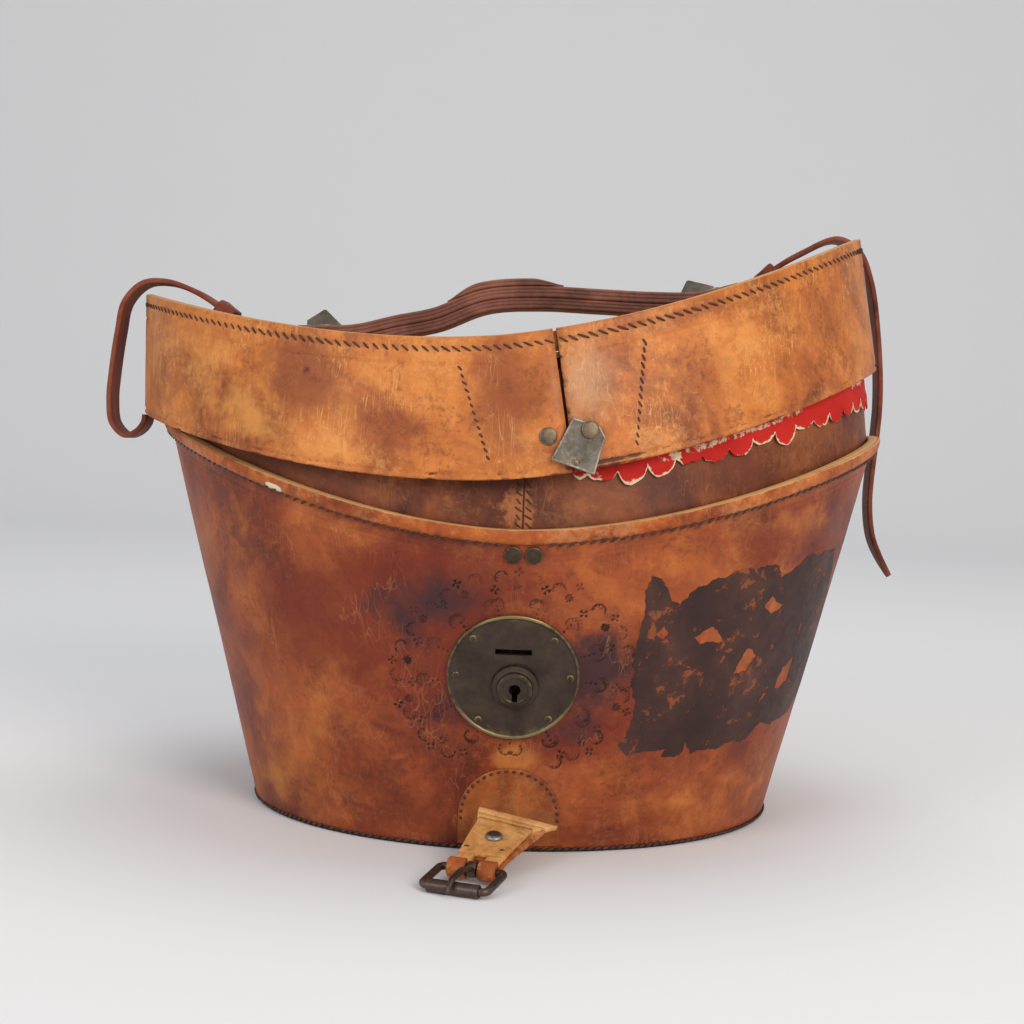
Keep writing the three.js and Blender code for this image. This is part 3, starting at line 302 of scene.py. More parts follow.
def through(matrix, points):
    m = np.array(matrix)
    return np.asarray(points, float) @ m[:3, :3].T + m[:3, 3]


def surfaceNormal(place3d, u, v, step=0.01):
    along = place3d(u + step, v) - place3d(u - step, v)
    up = place3d(u, v + step) - place3d(u, v - step)
    n = np.cross(along, up)
    return n / np.linalg.norm(n)


# materials
def hexColor(code):
    parts = [int(code[k:k + 2], 16) / 255 for k in (1, 3, 5)]
    return (*[c / 12.92 if c <= 0.04045 else ((c + 0.055) / 1.055) ** 2.4 for c in parts], 1.0)


def addNode(tree, kind, settings=None):  # a node or socket among the settings is linked, any other value is set
    node = tree.nodes.new(kind)
    for key, value in (settings or {}).items():
        if isinstance(value, bpy.types.Node):
            value = value.outputs[0]
        if isinstance(value, bpy.types.NodeSocket):
            tree.links.new(value, node.inputs[key])
        elif isinstance(key, int) or key in node.inputs:
            node.inputs[key].default_value = value
        else:
            setattr(node, key, value)
    return node


def perMm(size):  # texture scale for a pattern of this many millimetres
    return 1000.0 / size


def newMaterial(name):
    material = bpy.data.materials.new(name)
    material.use_nodes = True
    tree = material.node_tree
    tree.nodes.clear()
    return material, tree, addNode(tree, "ShaderNodeTexCoord").outputs["Object"]


def finishMaterial(material, settings):
    shader = addNode(material.node_tree, "ShaderNodeBsdfPrincipled", settings)
    addNode(material.node_tree, "ShaderNodeOutputMaterial", {"Surface": shader})
    return material


def setRamp(ramp, stops):
    elements = ramp.color_ramp.elements
    while len(elements) > 1:
        elements.remove(elements[-1])
    elements[0].position, elements[0].color = stops[0][0], hexColor(stops[0][1])
    for position, code in stops[1:]:
        elements.new(position).color = hexColor(code)
    return ramp


leatherSet = {
    "ior": 1.48, "gloss": 0.26, "wornAreaMm": 34, "scratchAreaMm": 26, "softMarks": ("pale", "flush", "sheen"),
    "softMost": 0.72,
    "grainMm": 1.1,  # hair cells are about 0.4 mm, drawn coarser so that they show at the render's scale
    # pale scratches, three straight runs and two crooked ones: turn, stretch, shift, crookedness, width
    "scratches": [(0.5, 0.06, 3.0, 0.25, 0.006), (-0.9, 0.05, 8.0, 0.25, 0.006), (1.3, 0.05, 5.0, 0.25, 0.006),
                  (0.4, 0.22, 11.0, 0.6, 0.007), (-0.8, 0.25, 17.0, 0.7, 0.007)],
}


# Vegetable tanned saddle leather, waxed and long handled: mottled orange tan that darkens to red brown in stains
# and painted shade, pale where it is scuffed, with a soft sheen over a fine grain and painted highlights where
# marked
def saddleLeather(name, look):
    material, tree, spot = newMaterial(name)
    cloud = addNode(tree, "ShaderNodeTexNoise", {
        "Scale": perMm(look["cloudMm"]), "Detail": 5.0, "Roughness": 0.62, "Distortion": 0.7, "Vector": spot})
    tone = setRamp(addNode(tree, "ShaderNodeValToRGB", {"Fac": cloud}), look["tones"])
    mottle = addNode(tree, "ShaderNodeTexNoise", {
        "Scale": perMm(look["mottleMm"]), "Detail": 7.0, "Roughness": 0.68, "Vector": spot})
    mottleGrey = addNode(tree, "ShaderNodeMapRange", {
        "From Min": 0.3, "From Max": 0.7, "To Min": 0.22, "To Max": 0.78, "Value": mottle})
    mixed = addNode(tree, "ShaderNodeMix", {
        "data_type": "RGBA", "blend_type": "OVERLAY", 0: look["mottle"], 6: tone, 7: mottleGrey}).outputs[2]
    # rubbed flecks where the finish has worn through, and small dark specks where dirt has settled
    rubbed = addNode(tree, "ShaderNodeTexNoise", {
        "Scale": perMm(look["fleckMm"]), "Detail": 8.0, "Roughness": 0.74, "Distortion": 0.5, "Vector": spot})
    area = addNode(tree, "ShaderNodeTexNoise", {
        "Scale": perMm(leatherSet["wornAreaMm"]), "Detail": 3.0, "Vector": spot})
    both = addNode(tree, "ShaderNodeMath", {"operation": "MULTIPLY_ADD", 0: area, 1: 0.75, 2: rubbed})
    for low, high, amount, colour in ((0.9, 1.04, look["fleck"], look["scratchColour"]),
                                      (0.8, 0.7, look["speck"], look["speckColour"])):
        share = addNode(tree, "ShaderNodeMapRange", {
            "From Min": low, "From Max": high, "To Max": amount, "Value": both})
        mixed = addNode(tree, "ShaderNodeMix", {
            "data_type": "RGBA", 0: share, 6: mixed, 7: hexColor(colour)}).outputs[2]
    # stains, worn places, painted shade and a painted highlight are painted as weights on the mesh, with ragged
    # borders from the mottle
    for mark, colour, raggedness, low, high in look["marks"]:
        weight = addNode(tree, "ShaderNodeAttribute", {"attribute_name": mark}).outputs["Fac"]
        ragged = addNode(tree, "ShaderNodeMath", {
            "operation": "MULTIPLY_ADD", 0: mottle, 1: raggedness, 2: -0.5 * raggedness})
        level = addNode(tree, "ShaderNodeMath", {"operation": "MULTIPLY_ADD", 0: weight, 1: 1.0, 2: ragged})
        most = leatherSet["softMost"] if mark in leatherSet["softMarks"] else 1.0
        share = addNode(tree, "ShaderNodeMapRange", {
            "interpolation_type": "SMOOTHSTEP", "From Min": low, "From Max": high, "To Max": most, "Value": level})
        mixed = addNode(tree, "ShaderNodeMix", {
            "data_type": "RGBA", 0: share, 6: mixed, 7: hexColor(colour)}).outputs[2]
    lines = None
    for turn, along, shift, crooked, width in leatherSet["scratches"]:
        mapped = addNode(tree, "ShaderNodeMapping", {
            "Rotation": (0.2, turn, 0.0), "Scale": (1, 1, along), "Location": (shift, 0, 0), "Vector": spot})
        streak = addNode(tree, "ShaderNodeTexNoise", {
            "Scale": perMm(look["scratchMm"]), "Detail": 1.5, "Distortion": crooked, "Vector": mapped})
        away = addNode(tree, "ShaderNodeMath", {"operation": "SUBTRACT", 0: streak, 1: 0.52})
        near = addNode(tree, "ShaderNodeMath", {"operation": "ABSOLUTE", 0: away})
        line = addNode(tree, "ShaderNodeMapRange", {
            "From Min": 0.0, "From Max": width, "To Min": 1.0, "To Max": 0.0, "Value": near})
        lines = addNode(tree, "ShaderNodeMath", {"operation": "MAXIMUM", 0: lines, 1: line}) if lines else line
    where = addNode(tree, "ShaderNodeTexNoise", {
        "Scale": perMm(leatherSet["scratchAreaMm"]), "Detail": 3.0, "Vector": spot})
    whereShare = addNode(tree, "ShaderNodeMapRange", {
        "From Min": 0.5, "From Max": 0.66, "To Max": look["scratch"], "Value": where})
    scratched = addNode(tree, "ShaderNodeMath", {"operation": "MULTIPLY", 0: lines, 1: whereShare})
    mixed = addNode(tree, "ShaderNodeMix", {
        "data_type": "RGBA", 0: scratched, 6: mixed, 7: hexColor(look["scratchColour"])}).outputs[2]
    shine = addNode(tree, "ShaderNodeMapRange", {
        "From Min": 0.3, "From Max": 0.7, "To Min": look["rough"][0], "To Max": look["rough"][1], "Value": mottle})
    grain = addNode(tree, "ShaderNodeTexVoronoi", {
        "feature": "SMOOTH_F1", "Scale": perMm(leatherSet["grainMm"]), "Vector": spot})
    fine = addNode(tree, "ShaderNodeBump", {"Strength": 0.16, "Distance": 0.0002, "Height": grain})
    broad = addNode(tree, "ShaderNodeBump", {
        "Strength": look["bump"], "Distance": 0.0007, "Height": mottle, "Normal": fine})
    nick = addNode(tree, "ShaderNodeBump", {
        "invert": True, "Strength": 0.25, "Distance": 0.0002, "Height": scratched, "Normal": broad})
    return finishMaterial(material, {
        "IOR": leatherSet["ior"], "Specular IOR Level": look.get("gloss", leatherSet["gloss"]),
        "Base Color": mixed, "Roughness": shine, "Normal": nick})


wallLook = {
    "cloudMm": 58, "mottleMm": 13, "mottle": 0.42, "scratchMm": 9, "scratch": 0.34, "scratchColour": "#c58650",
    "fleckMm": 3.4, "fleck": 0.16, "speck": 0.45, "speckColour": "#4a231a",
    "tones": [(0.30, "#5c2415"), (0.43, "#7d371d"), (0.55, "#964923"), (0.72, "#b0622c")],
    "marks": [("pale", "#bb7636", 1.3, 0.35, 0.9), ("flush", "#6c2416", 1.5, 0.3, 0.85),
              ("stain", "#402426", 1.5, 0.24, 0.95), ("tool", "#21100c", 0.3, 0.1, 0.6),
              ("edge", "#2c1610", 0.5, 0.3, 0.8)],
    "rough": (0.4, 0.58), "bump": 0.25,
}
lidLook = {
    "cloudMm": 44, "mottleMm": 10, "mottle": 0.45, "scratchMm": 6, "scratch": 0.75, "scratchColour": "#dea25e",
    "fleckMm": 2.8, "fleck": 0.36, "speck": 0.5, "speckColour": "#6a3620",
    "tones": [(0.30, "#7a3d22"), (0.43, "#a2592b"), (0.55, "#c07134"), (0.72, "#d68a48")],
    # the first mark is a painted highlight, a pale grey-tan sheen laid into the colour
    "marks": [("sheen", "#ad886c", 0.9, 0.2, 0.95), ("pale", "#d2904a", 1.5, 0.3, 1.0),
              ("flush", "#7d3c24", 1.9, 0.25, 1.0), ("stain", "#532a1c", 2.0, 0.42, 0.75),
              ("edge", "#b8854f", 0.5, 0.35, 0.75)],
    "rough": (0.36, 0.56), "bump": 0.3,
}
weltLook = {
    "cloudMm": 30, "mottleMm": 6, "mottle": 0.5, "scratchMm": 6, "scratch": 0.3, "scratchColour": "#dcae74",
    "fleckMm": 4, "fleck": 0.22, "speck": 0.5, "speckColour": "#5a2813",
    "tones": [(0.32, "#7e3818"), (0.46, "#a04f22"), (0.6, "#b8652c"), (0.74, "#c87c3c")],
    "marks": [("edge", "#cfa068", 0.9, 0.3, 0.8), ("chip", "#e2d2ae", 0.4, 0.4, 0.6)],
    "rough": (0.42, 0.6), "bump": 0.35,
}
collarLook = {
    "cloudMm": 36, "mottleMm": 9, "mottle": 0.42, "scratchMm": 7, "scratch": 0.35, "scratchColour": "#bd8048",
    "fleckMm": 3.2, "fleck": 0.16, "speck": 0.4, "speckColour": "#4b281e",
    "tones": [(0.3, "#4f2518"), (0.46, "#67341f"), (0.58, "#783e22"), (0.74, "#8c4f2a")],
    "marks": [("pale", "#a9683a", 2.4, 0.5, 0.85), ("flush", "#55291f", 0.9, 0.2, 0.9),
              ("edge", "#c99c64", 0.5, 0.35, 0.8), ("seam", "#3a1c14", 0.2, 0.3, 0.7)],
    "rough": (0.42, 0.6), "bump": 0.3,
}
tabLook = {
    "cloudMm": 18, "mottleMm": 5, "mottle": 0.4, "scratchMm": 5, "scratch": 0.25, "scratchColour": "#e0b47c",
    "fleckMm": 4, "fleck": 0.4, "speck": 0.4, "speckColour": "#7c4220",
    "tones": [(0.3, "#a4662f"), (0.46, "#c08548"), (0.6, "#d39c60"), (0.74, "#deae78")],
    "marks": [("edge", "#8f4119", 0.6, 0.3, 0.8), ("stain", "#341a12", 0.4, 0.3, 0.8)],
    "rough": (0.48, 0.64), "bump": 0.3,
}
undersideLook = dict(tabLook, tones=[(0.3, "#7a3516"), (0.46, "#96491f"), (0.6, "#ab5c2a"), (0.74, "#b96c34")])
strapLook = {
    "cloudMm": 34, "mottleMm": 7, "mottle": 0.32, "scratchMm": 6, "scratch": 0.3, "scratchColour": "#93604a",
    "fleckMm": 4, "fleck": 0.25, "speck": 0.3, "speckColour": "#2c110c", "gloss": 0.16,
    "tones": [(0.3, "#542318"), (0.46, "#6e3324"), (0.6, "#81402d"), (0.76, "#925440")],
    "marks": [("edge", "#83503c", 0.8, 0.4, 0.95), ("stain", "#2a1612", 0.6, 0.3, 0.9)],
    "rough": (0.5, 0.64), "bump": 0.25,
}
handleLook = dict(strapLook, gloss=0.36, rough=(0.36, 0.52),
                  tones=[(0.3, "#523026"), (0.46, "#6b4133"), (0.6, "#7f5141"), (0.76, "#946454")])
wallLeather = saddleLeather("saddle_leather_wall", wallLook)
lidLeather = saddleLeather("saddle_leather_lid", lidLook)
weltLeather = saddleLeather("saddle_leather_welt", weltLook)
collarLeather = saddleLeather("saddle_leather_collar", collarLook)
tabLeather = saddleLeather("saddle_leather_tab", tabLook)
undersideLeather = saddleLeather("saddle_leather_tab_under", undersideLook)
strapLeather = saddleLeather("bridle_leather_dark", strapLook)
handleLeather = saddleLeather("bridle_leather_handle", handleLook)


# Cast and turned brass or sheet steel gone brown with handling: dull, low sheen, clean metal only on the worn edges
def agedMetal(name, look):
    material, tree, spot = newMaterial(name)
    cloud = addNode(tree, "ShaderNodeTexNoise", {
        "Scale": perMm(look["cloudMm"]), "Detail": 6.0, "Roughness": 0.65, "Vector": spot})
    tone = setRamp(addNode(tree, "ShaderNodeValToRGB", {"Fac": cloud}), look["tones"])
    worn = addNode(tree, "ShaderNodeAttribute", {"attribute_name": "worn"}).outputs["Fac"]
    speck = addNode(tree, "ShaderNodeTexNoise", {"Scale": perMm(look["speckMm"]), "Detail": 4.0, "Vector": spot})
    ragged = addNode(tree, "ShaderNodeMath", {"operation": "MULTIPLY_ADD", 0: speck, 1: 0.8, 2: -0.4})
    level = addNode(tree, "ShaderNodeMath", {"operation": "ADD", 0: worn, 1: ragged})
    share = addNode(tree, "ShaderNodeMapRange", {"From Min": 0.35, "From Max": 0.8, "Value": level})
    mixed = addNode(tree, "ShaderNodeMix", {"data_type": "RGBA", 0: share, 6: tone, 7: hexColor(look["bright"])})
    shine = addNode(tree, "ShaderNodeMapRange", {
        "From Min": 0.3, "From Max": 0.7, "To Min": look["rough"][0], "To Max": look["rough"][1], "Value": speck})
    pits = addNode(tree, "ShaderNodeBump", {"Strength": 0.2, "Distance": 0.0002, "Height": speck})
    return finishMaterial(material, {
        "Metallic": look["metallic"], "Base Color": mixed.outputs[2], "Roughness": shine, "Normal": pits})


brassLook = {"metallic": 0.75, "cloudMm": 16, "speckMm": 2.5, "bright": "#857650", "rough": (0.36, 0.5),
             "tones": [(0.3, "#362c25"), (0.5, "#453930"), (0.7, "#54473a")]}
rivetLook = dict(brassLook, cloudMm=4, speckMm=1.2, bright="#94836a",
                 tones=[(0.3, "#4b4138"), (0.5, "#675846"), (0.7, "#7b6a55")])
darkRivetLook = dict(rivetLook, bright="#7d6a4a", tones=[(0.3, "#332a22"), (0.5, "#43372b"), (0.7, "#554632")])
steelLook = {"metallic": 0.85, "cloudMm": 9, "speckMm": 1.6, "bright": "#a39b8e", "rough": (0.36, 0.52),
             "tones": [(0.3, "#3f3a34"), (0.5, "#565049"), (0.7, "#6a635a")]}
buckleLook = {"metallic": 0.7, "cloudMm": 6, "speckMm": 1.2, "bright": "#8c7f74", "rough": (0.34, 0.5),
              "tones": [(0.3, "#3b2f2a"), (0.5, "#51423b"), (0.7, "#66564d")]}
lockBrass = agedMetal("aged_brass_lock", brassLook)
rivetBrass = agedMetal("aged_brass_rivet", rivetLook)
rivetDark = agedMetal("aged_brass_dark", darkRivetLook)
plateSteel = agedMetal("dull_steel_plate", steelLook)
buckleSteel = agedMetal("browned_steel_buckle", buckleLook)
clothLook = {"tones": [(0.3, "#ad1a12"), (0.5, "#bf2118"), (0.7, "#c92c22")], "torn": "#dcc4a4", "cloudMm": 24,
             "tornMm": 3.5, "threadMm": 0.9}  # threads are about 0.35 mm, drawn coarser so that they show


# Glazed cotton lining: bright red, plain weave, pale where the glaze and dye have rubbed or torn away
def liningCloth(name, look):
    material, tree, spot = newMaterial(name)
    cloud = addNode(tree, "ShaderNodeTexNoise", {"Scale": perMm(look["cloudMm"]), "Detail": 5.0, "Vector": spot})
    tone = setRamp(addNode(tree, "ShaderNodeValToRGB", {"Fac": cloud}), look["tones"])
    fray = addNode(tree, "ShaderNodeAttribute", {"attribute_name": "fray"}).outputs["Fac"]
    torn = addNode(tree, "ShaderNodeTexNoise", {
        "Scale": perMm(look["tornMm"]), "Detail": 6.0, "Roughness": 0.7, "Vector": spot})
    ragged = addNode(tree, "ShaderNodeMath", {"operation": "MULTIPLY_ADD", 0: torn, 1: 1.6, 2: -0.8})
    level = addNode(tree, "ShaderNodeMath", {"operation": "ADD", 0: fray, 1: ragged})
    share = addNode(tree, "ShaderNodeMapRange", {"From Min": 0.45, "From Max": 0.6, "Value": level})
    mixed = addNode(tree, "ShaderNodeMix", {"data_type": "RGBA", 0: share, 6: tone, 7: hexColor(look["torn"])})
    weave = [addNode(tree, "ShaderNodeTexWave", {
        "bands_direction": way, "Scale": perMm(look["threadMm"]) / 6.28, "Distortion": 0.4, "Vector": spot})
        for way in ("X", "Z")]
    both = addNode(tree, "ShaderNodeMath", {
        "operation": "MAXIMUM", 0: weave[0].outputs["Fac"], 1: weave[1].outputs["Fac"]})
    threads = addNode(tree, "ShaderNodeBump", {"Strength": 0.25, "Distance": 0.0002, "Height": both})
    return finishMaterial(material, {
        "Roughness": 0.75, "Specular IOR Level": 0.25, "Base Color": mixed.outputs[2], "Normal": threads})


redCloth = liningCloth("glazed_cotton_red", clothLook)


# One fibrous stuff in two tones: waxed linen thread, nearly black with age, or felted grey-brown pasteboard
def fibreStuff(name, look):
    material, tree, spot = newMaterial(name)
    fibre = addNode(tree, "ShaderNodeTexNoise", {
        "Scale": perMm(look["fibreMm"]), "Detail": look["detail"], "Vector": spot})
    tone = setRamp(addNode(tree, "ShaderNodeValToRGB", {"Fac": fibre}), look["tones"])
    raised = addNode(tree, "ShaderNodeBump", {"Strength": 0.3, "Distance": look["raised"], "Height": fibre})
    return finishMaterial(material, {"Roughness": look["rough"], "Base Color": tone, "Normal": raised})


threadLook = {"fibreMm": 3, "detail": 4.0, "tones": [(0.35, "#2a140d"), (0.7, "#552c1c")], "raised": 0.0002,
              "rough": 0.6}
boardLook = {"fibreMm": 4, "detail": 8.0, "tones": [(0.35, "#9a8460"), (0.65, "#b9a37c")], "raised": 0.0004,
             "rough": 0.9}
darkThread = fibreStuff("waxed_linen_thread", threadLook)
pasteboard = fibreStuff("pasteboard_grey", boardLook)
paperLook = {"cloudMm": 30, "rubMm": 7, "bare": "#8f4a28",
             "tones": [(0.3, "#2e1d1a"), (0.5, "#3b2521"), (0.62, "#492d25"), (0.74, "#60392a")]}


# Varnished paper gone dark: flat purple brown, rubbed lighter in clouds, worn through to the leather
def oldPaper(name, look):
    material, tree, spot = newMaterial(name)
    cloud = addNode(tree, "ShaderNodeTexNoise", {
        "Scale": perMm(look["cloudMm"]), "Detail": 6.0, "Roughness": 0.65, "Vector": spot})
    tone = setRamp(addNode(tree, "ShaderNodeValToRGB", {"Fac": cloud}), look["tones"])
    rub = addNode(tree, "ShaderNodeTexNoise", {
        "Scale": perMm(look["rubMm"]), "Detail": 8.0, "Roughness": 0.72, "Distortion": 0.6, "Vector": spot})
    worn = addNode(tree, "ShaderNodeMath", {"operation": "MULTIPLY_ADD", 0: cloud, 1: 0.6, 2: rub})
    bare = addNode(tree, "ShaderNodeMapRange", {"From Min": 0.9, "From Max": 0.96, "To Max": 0.8, "Value": worn})
    mixed = addNode(tree, "ShaderNodeMix", {"data_type": "RGBA", 0: bare, 6: tone, 7: hexColor(look["bare"])})
    shine = addNode(tree, "ShaderNodeMapRange", {
        "From Min": 0.3, "From Max": 0.7, "To Min": 0.42, "To Max": 0.66, "Value": rub})
    wrinkle = addNode(tree, "ShaderNodeBump", {"Strength": 0.2, "Distance": 0.0003, "Height": rub})
    return finishMaterial(material, {
        "Specular IOR Level": 0.25, "Base Color": mixed.outputs[2], "Roughness": shine, "Normal": wrinkle})


labelPaper = oldPaper("varnished_paper_old", paperLook)
print("materials made", len(bpy.data.materials))

# camera, from a fit to the rim, base and lid outlines, and the studio
cameraSet = {"place": (14.376, -902.825, 210.917), "lens": 62.837, "sensor": 36.0, "clip": (0.05, 50),
             "pitch": 4.149, "yaw": -1.126, "roll": 1.908}


def makeCamera():
    pitch, yaw, roll = (math.radians(cameraSet[k]) for k in ("pitch", "yaw", "roll"))
    forward = Vector((math.sin(yaw) * math.cos(pitch), math.cos(yaw) * math.cos(pitch), -math.sin(pitch)))
    right = Vector((math.cos(yaw), -math.sin(yaw), 0))
    up = right.cross(forward)
    x = right * math.cos(roll) + up * math.sin(roll)
    y = up * math.cos(roll) - right * math.sin(roll)
    matrix = Matrix((x, y, -forward)).transposed().to_4x4()
    matrix.translation = Vector(cameraSet["place"]) * mm
    data = bpy.data.cameras.new("studioCamera")
    data.lens, data.sensor_width = cameraSet["lens"], cameraSet["sensor"]
    data.clip_start, data.clip_end = cameraSet["clip"]
    camera = linkObject("studioCamera", data)
    camera.matrix_world = matrix
    scene.camera = camera


# lamps: name, place, aim, size, power, colour
studio = {"floor": "#e6e6e7", "toothMm": 6, "worldStrength": 0.57, "world": "#eef0f2",
          "sweepStart": 1.5, "sweepRadius": 0.9, "reach": 6.0,
          "lamps": [("keyLamp", (1.05, -1.9, 1.1), (0.0, -0.02, 0.12), 1.1, 29.0, "#fff6ec"),
                    ("fillLamp", (-1.5, -1.7, 1.1), (0.0, 0.0, 0.12), 1.3, 15.0, "#f6f8ff"),
                    ("topLamp", (0.2, 0.25, 1.9), (0.0, 0.05, 0.2), 1.2, 9.0, "#ffffff")]}


def makeStudio():
    material, tree, spot = newMaterial("paper_sweep")
    tooth = addNode(tree, "ShaderNodeTexNoise", {"Scale": perMm(studio["toothMm"]), "Detail": 3.0, "Vector": spot})
    bump = addNode(tree, "ShaderNodeBump", {"Strength": 0.04, "Distance": 0.0005, "Height": tooth})
    finishMaterial(material, {"Roughness": 0.9, "Base Color": hexColor(studio["floor"]), "Normal": bump})
    start, radius, reach = studio["sweepStart"], studio["sweepRadius"], studio["reach"]
    line = [(-reach, 0.0), (start, 0.0)]
    line += [(start + radius * math.sin(a), radius - radius * math.cos(a))
             for a in np.linspace(0.1, math.pi / 2, 14)]
    line.append((start + radius, reach))
    points = [(x / mm, y / mm, z / mm) for y, z in line for x in (-reach, reach)]
    faces = [[2 * k, 2 * k + 1, 2 * k + 3, 2 * k + 2] for k in range(len(line) - 1)]
    sweep = makeObject("paperSweep", points, faces)
    paint(sweep, material)
    world = bpy.data.worlds.new("studioWorld")
    world.use_nodes = True
    back = world.node_tree.nodes["Background"]
    back.inputs["Color"].default_value = hexColor(studio["world"])
    back.inputs["Strength"].default_value = studio["worldStrength"]
    scene.world = world
    for name, at, aim, size, power, colour in studio["lamps"]:
        lamp = bpy.data.lights.new(name, "AREA")
        lamp.shape, lamp.size, lamp.energy = "DISK", size, power
        lamp.color = hexColor(colour)[:3]
        holder = linkObject(name, lamp)
        holder.location = at
        holder.rotation_euler = (Vector(aim) - Vector(at)).to_track_quat("-Z", "Y").to_euler()


scene.view_settings.view_transform = "Standard"
makeCamera()
makeStudio()
print("studio ready")


# repeated pieces: stitches along seams and rivet heads, by Geometry Nodes
def newTree(name, inputs):  # inputs: (name, kind, value)
    tree = bpy.data.node_groups.new(name, "GeometryNodeTree")
    for label, kind, value in (("Geometry", "Geometry", None), *inputs, ("Material", "Material", None)):
        socket = tree.interface.new_socket(label, in_out="INPUT", socket_type="NodeSocket" + kind)
        if value is not None:
            socket.default_value = value
    tree.interface.new_socket("Geometry", in_out="OUTPUT", socket_type="NodeSocketGeometry")
    return tree, tree.nodes.new("NodeGroupInput").outputs


def setOnPoints(tree, given, shape, points, stand, angle, size):  # turned copies of a shape, made real and painted
    turn = addNode(tree, "FunctionNodeAxisAngleToRotation", {"Axis": (0, 0, 1), "Angle": angle.outputs[1]})
    turned = addNode(tree, "FunctionNodeRotateRotation", {
        "rotation_space": "LOCAL", "Rotation": stand, "Rotate By": turn})
    info = addNode(tree, "GeometryNodeObjectInfo", {"Object": given[shape]})
    copies = addNode(tree, "GeometryNodeInstanceOnPoints", {
        "Points": points, "Instance": info.outputs["Geometry"], "Rotation": turned, "Scale": size})
    real = addNode(tree, "GeometryNodeRealizeInstances", {0: copies})
    painted = addNode(tree, "GeometryNodeSetMaterial", {"Geometry": real, "Material": given["Material"]})
    addNode(tree, "NodeGroupOutput", {0: painted})
    return tree


def makeStitchTree():
    tree, given = newTree("seamStitches", [
        ("Stitch", "Object", None), ("Pitch", "Float", 0.0045), ("Length", "Float", 0.004),
        ("Thread", "Float", 0.001), ("Slant", "Float", 0.5), ("Unevenness", "Float", 0.15), ("Seed", "Int", 1)])
    curve = addNode(tree, "GeometryNodeMeshToCurve", {0: given["Geometry"]})
    spaced = addNode(tree, "GeometryNodeResampleCurve", {
        "mode": "LENGTH", "Curve": curve, "Length": given["Pitch"]})
    tangent = addNode(tree, "GeometryNodeInputTangent")
    outward = addNode(tree, "GeometryNodeInputNamedAttribute", {"data_type": "FLOAT_VECTOR", "Name": "outward"})
    along = addNode(tree, "FunctionNodeAlignRotationToVector", {"axis": "X", "Vector": tangent})
    stand = addNode(tree, "FunctionNodeAlignRotationToVector", {
        "axis": "Z", "pivot_axis": "X", "Rotation": along, "Vector": outward})
    low = addNode(tree, "ShaderNodeMath", {"operation": "SUBTRACT", 0: given["Slant"], 1: given["Unevenness"]})
    high = addNode(tree, "ShaderNodeMath", {"operation": "ADD", 0: given["Slant"], 1: given["Unevenness"]})
    angle = addNode(tree, "FunctionNodeRandomValue", {
        "data_type": "FLOAT", "Min": low, "Max": high, "Seed": given["Seed"]})
    grow = addNode(tree, "FunctionNodeRandomValue", {"data_type": "FLOAT", 2: 0.85, 3: 1.12, "Seed": given["Seed"]})
    length = addNode(tree, "ShaderNodeMath", {"operation": "MULTIPLY", 0: given["Length"], 1: grow.outputs[1]})
    size = addNode(tree, "ShaderNodeCombineXYZ", {0: length, 1: given["Thread"], 2: given["Thread"]})
    return setOnPoints(tree, given, "Stitch", spaced, stand, angle, size)


def makeRivetTree():
    tree, given = newTree("rivetHeads", [("Head", "Object", None), ("Spin", "Float", 3.1), ("Seed", "Int", 4)])
    outward = addNode(tree, "GeometryNodeInputNamedAttribute", {"data_type": "FLOAT_VECTOR", "Name": "outward"})
    radius = addNode(tree, "GeometryNodeInputNamedAttribute", {"data_type": "FLOAT", "Name": "headSize"})
    stand = addNode(tree, "FunctionNodeAlignRotationToVector", {"axis": "Z", "Vector": outward})
    angle = addNode(tree, "FunctionNodeRandomValue", {
        "data_type": "FLOAT", "Max": given["Spin"], "Seed": given["Seed"]})
    cloud = addNode(tree, "GeometryNodeMeshToPoints", {"Mesh": given["Geometry"]})
    return setOnPoints(tree, given, "Head", cloud, stand, angle, radius)


stitchTree, rivetTree = makeStitchTree(), makeRivetTree()
# one waxed stitch, a unit long, sinking into its holes at both ends: (along, radius, lift) of each ring
stitchSet = {"sides": 7, "flat": 0.8, "rings": [(-0.5, 0.1, -0.42), (-0.42, 0.36, -0.16), (-0.2, 0.5, 0.08),
                                                (0.2, 0.5, 0.08), (0.42, 0.36, -0.16), (0.5, 0.1, -0.42)]}
# (radius, height) up a head of unit radius, its sides and where its rubbed rim starts
rivetSet = {"profile": [(0, 0), (0.97, 0), (1.0, 0.08), (0.99, 0.17), (0.93, 0.23), (0.7, 0.26), (0.35, 0.275),
                        (0, 0.28)],
            "sides": 28, "wornFrom": 0.8}
pinSet = {"profile": [(0, 0), (0.95, 0), (1.0, 0.12), (0.92, 0.3), (0.7, 0.43), (0.4, 0.5), (0, 0.52)],
          "sides": 18, "wornFrom": 0.1}


def stitchShape():
    sides, rings = stitchSet["sides"], stitchSet["rings"]
    angles = fullTurn(sides)
    points = [np.stack([np.full(sides, x), r * np.cos(angles), r * np.sin(angles) * stitchSet["flat"] + lift], -1)
              for x, r, lift in rings]
    faces = gridFaces(len(rings), sides, False, True)
    faces += [list(range(sides)), [len(rings) * sides - 1 - k for k in range(sides)]]
    return makeObject("stitchShape", np.concatenate(points) / mm, faces)


def rivetShape(s):
    points, faces = turnedMesh(s["profile"], s["sides"])
    worn = smooth(s["wornFrom"], 1.0, np.hypot(points[:, 0], points[:, 1])) * 0.7
    return makeObject("rivetShape", points / mm, faces, {"worn": worn})


stitch, rivetHead, pinHead = stitchShape(), rivetShape(rivetSet), rivetShape(pinSet)


def realMesh(made):  # the object's mesh with its modifiers applied
    bpy.context.view_layer.update()
    return bpy.data.meshes.new_from_object(made.evaluated_get(bpy.context.evaluated_depsgraph_get()))


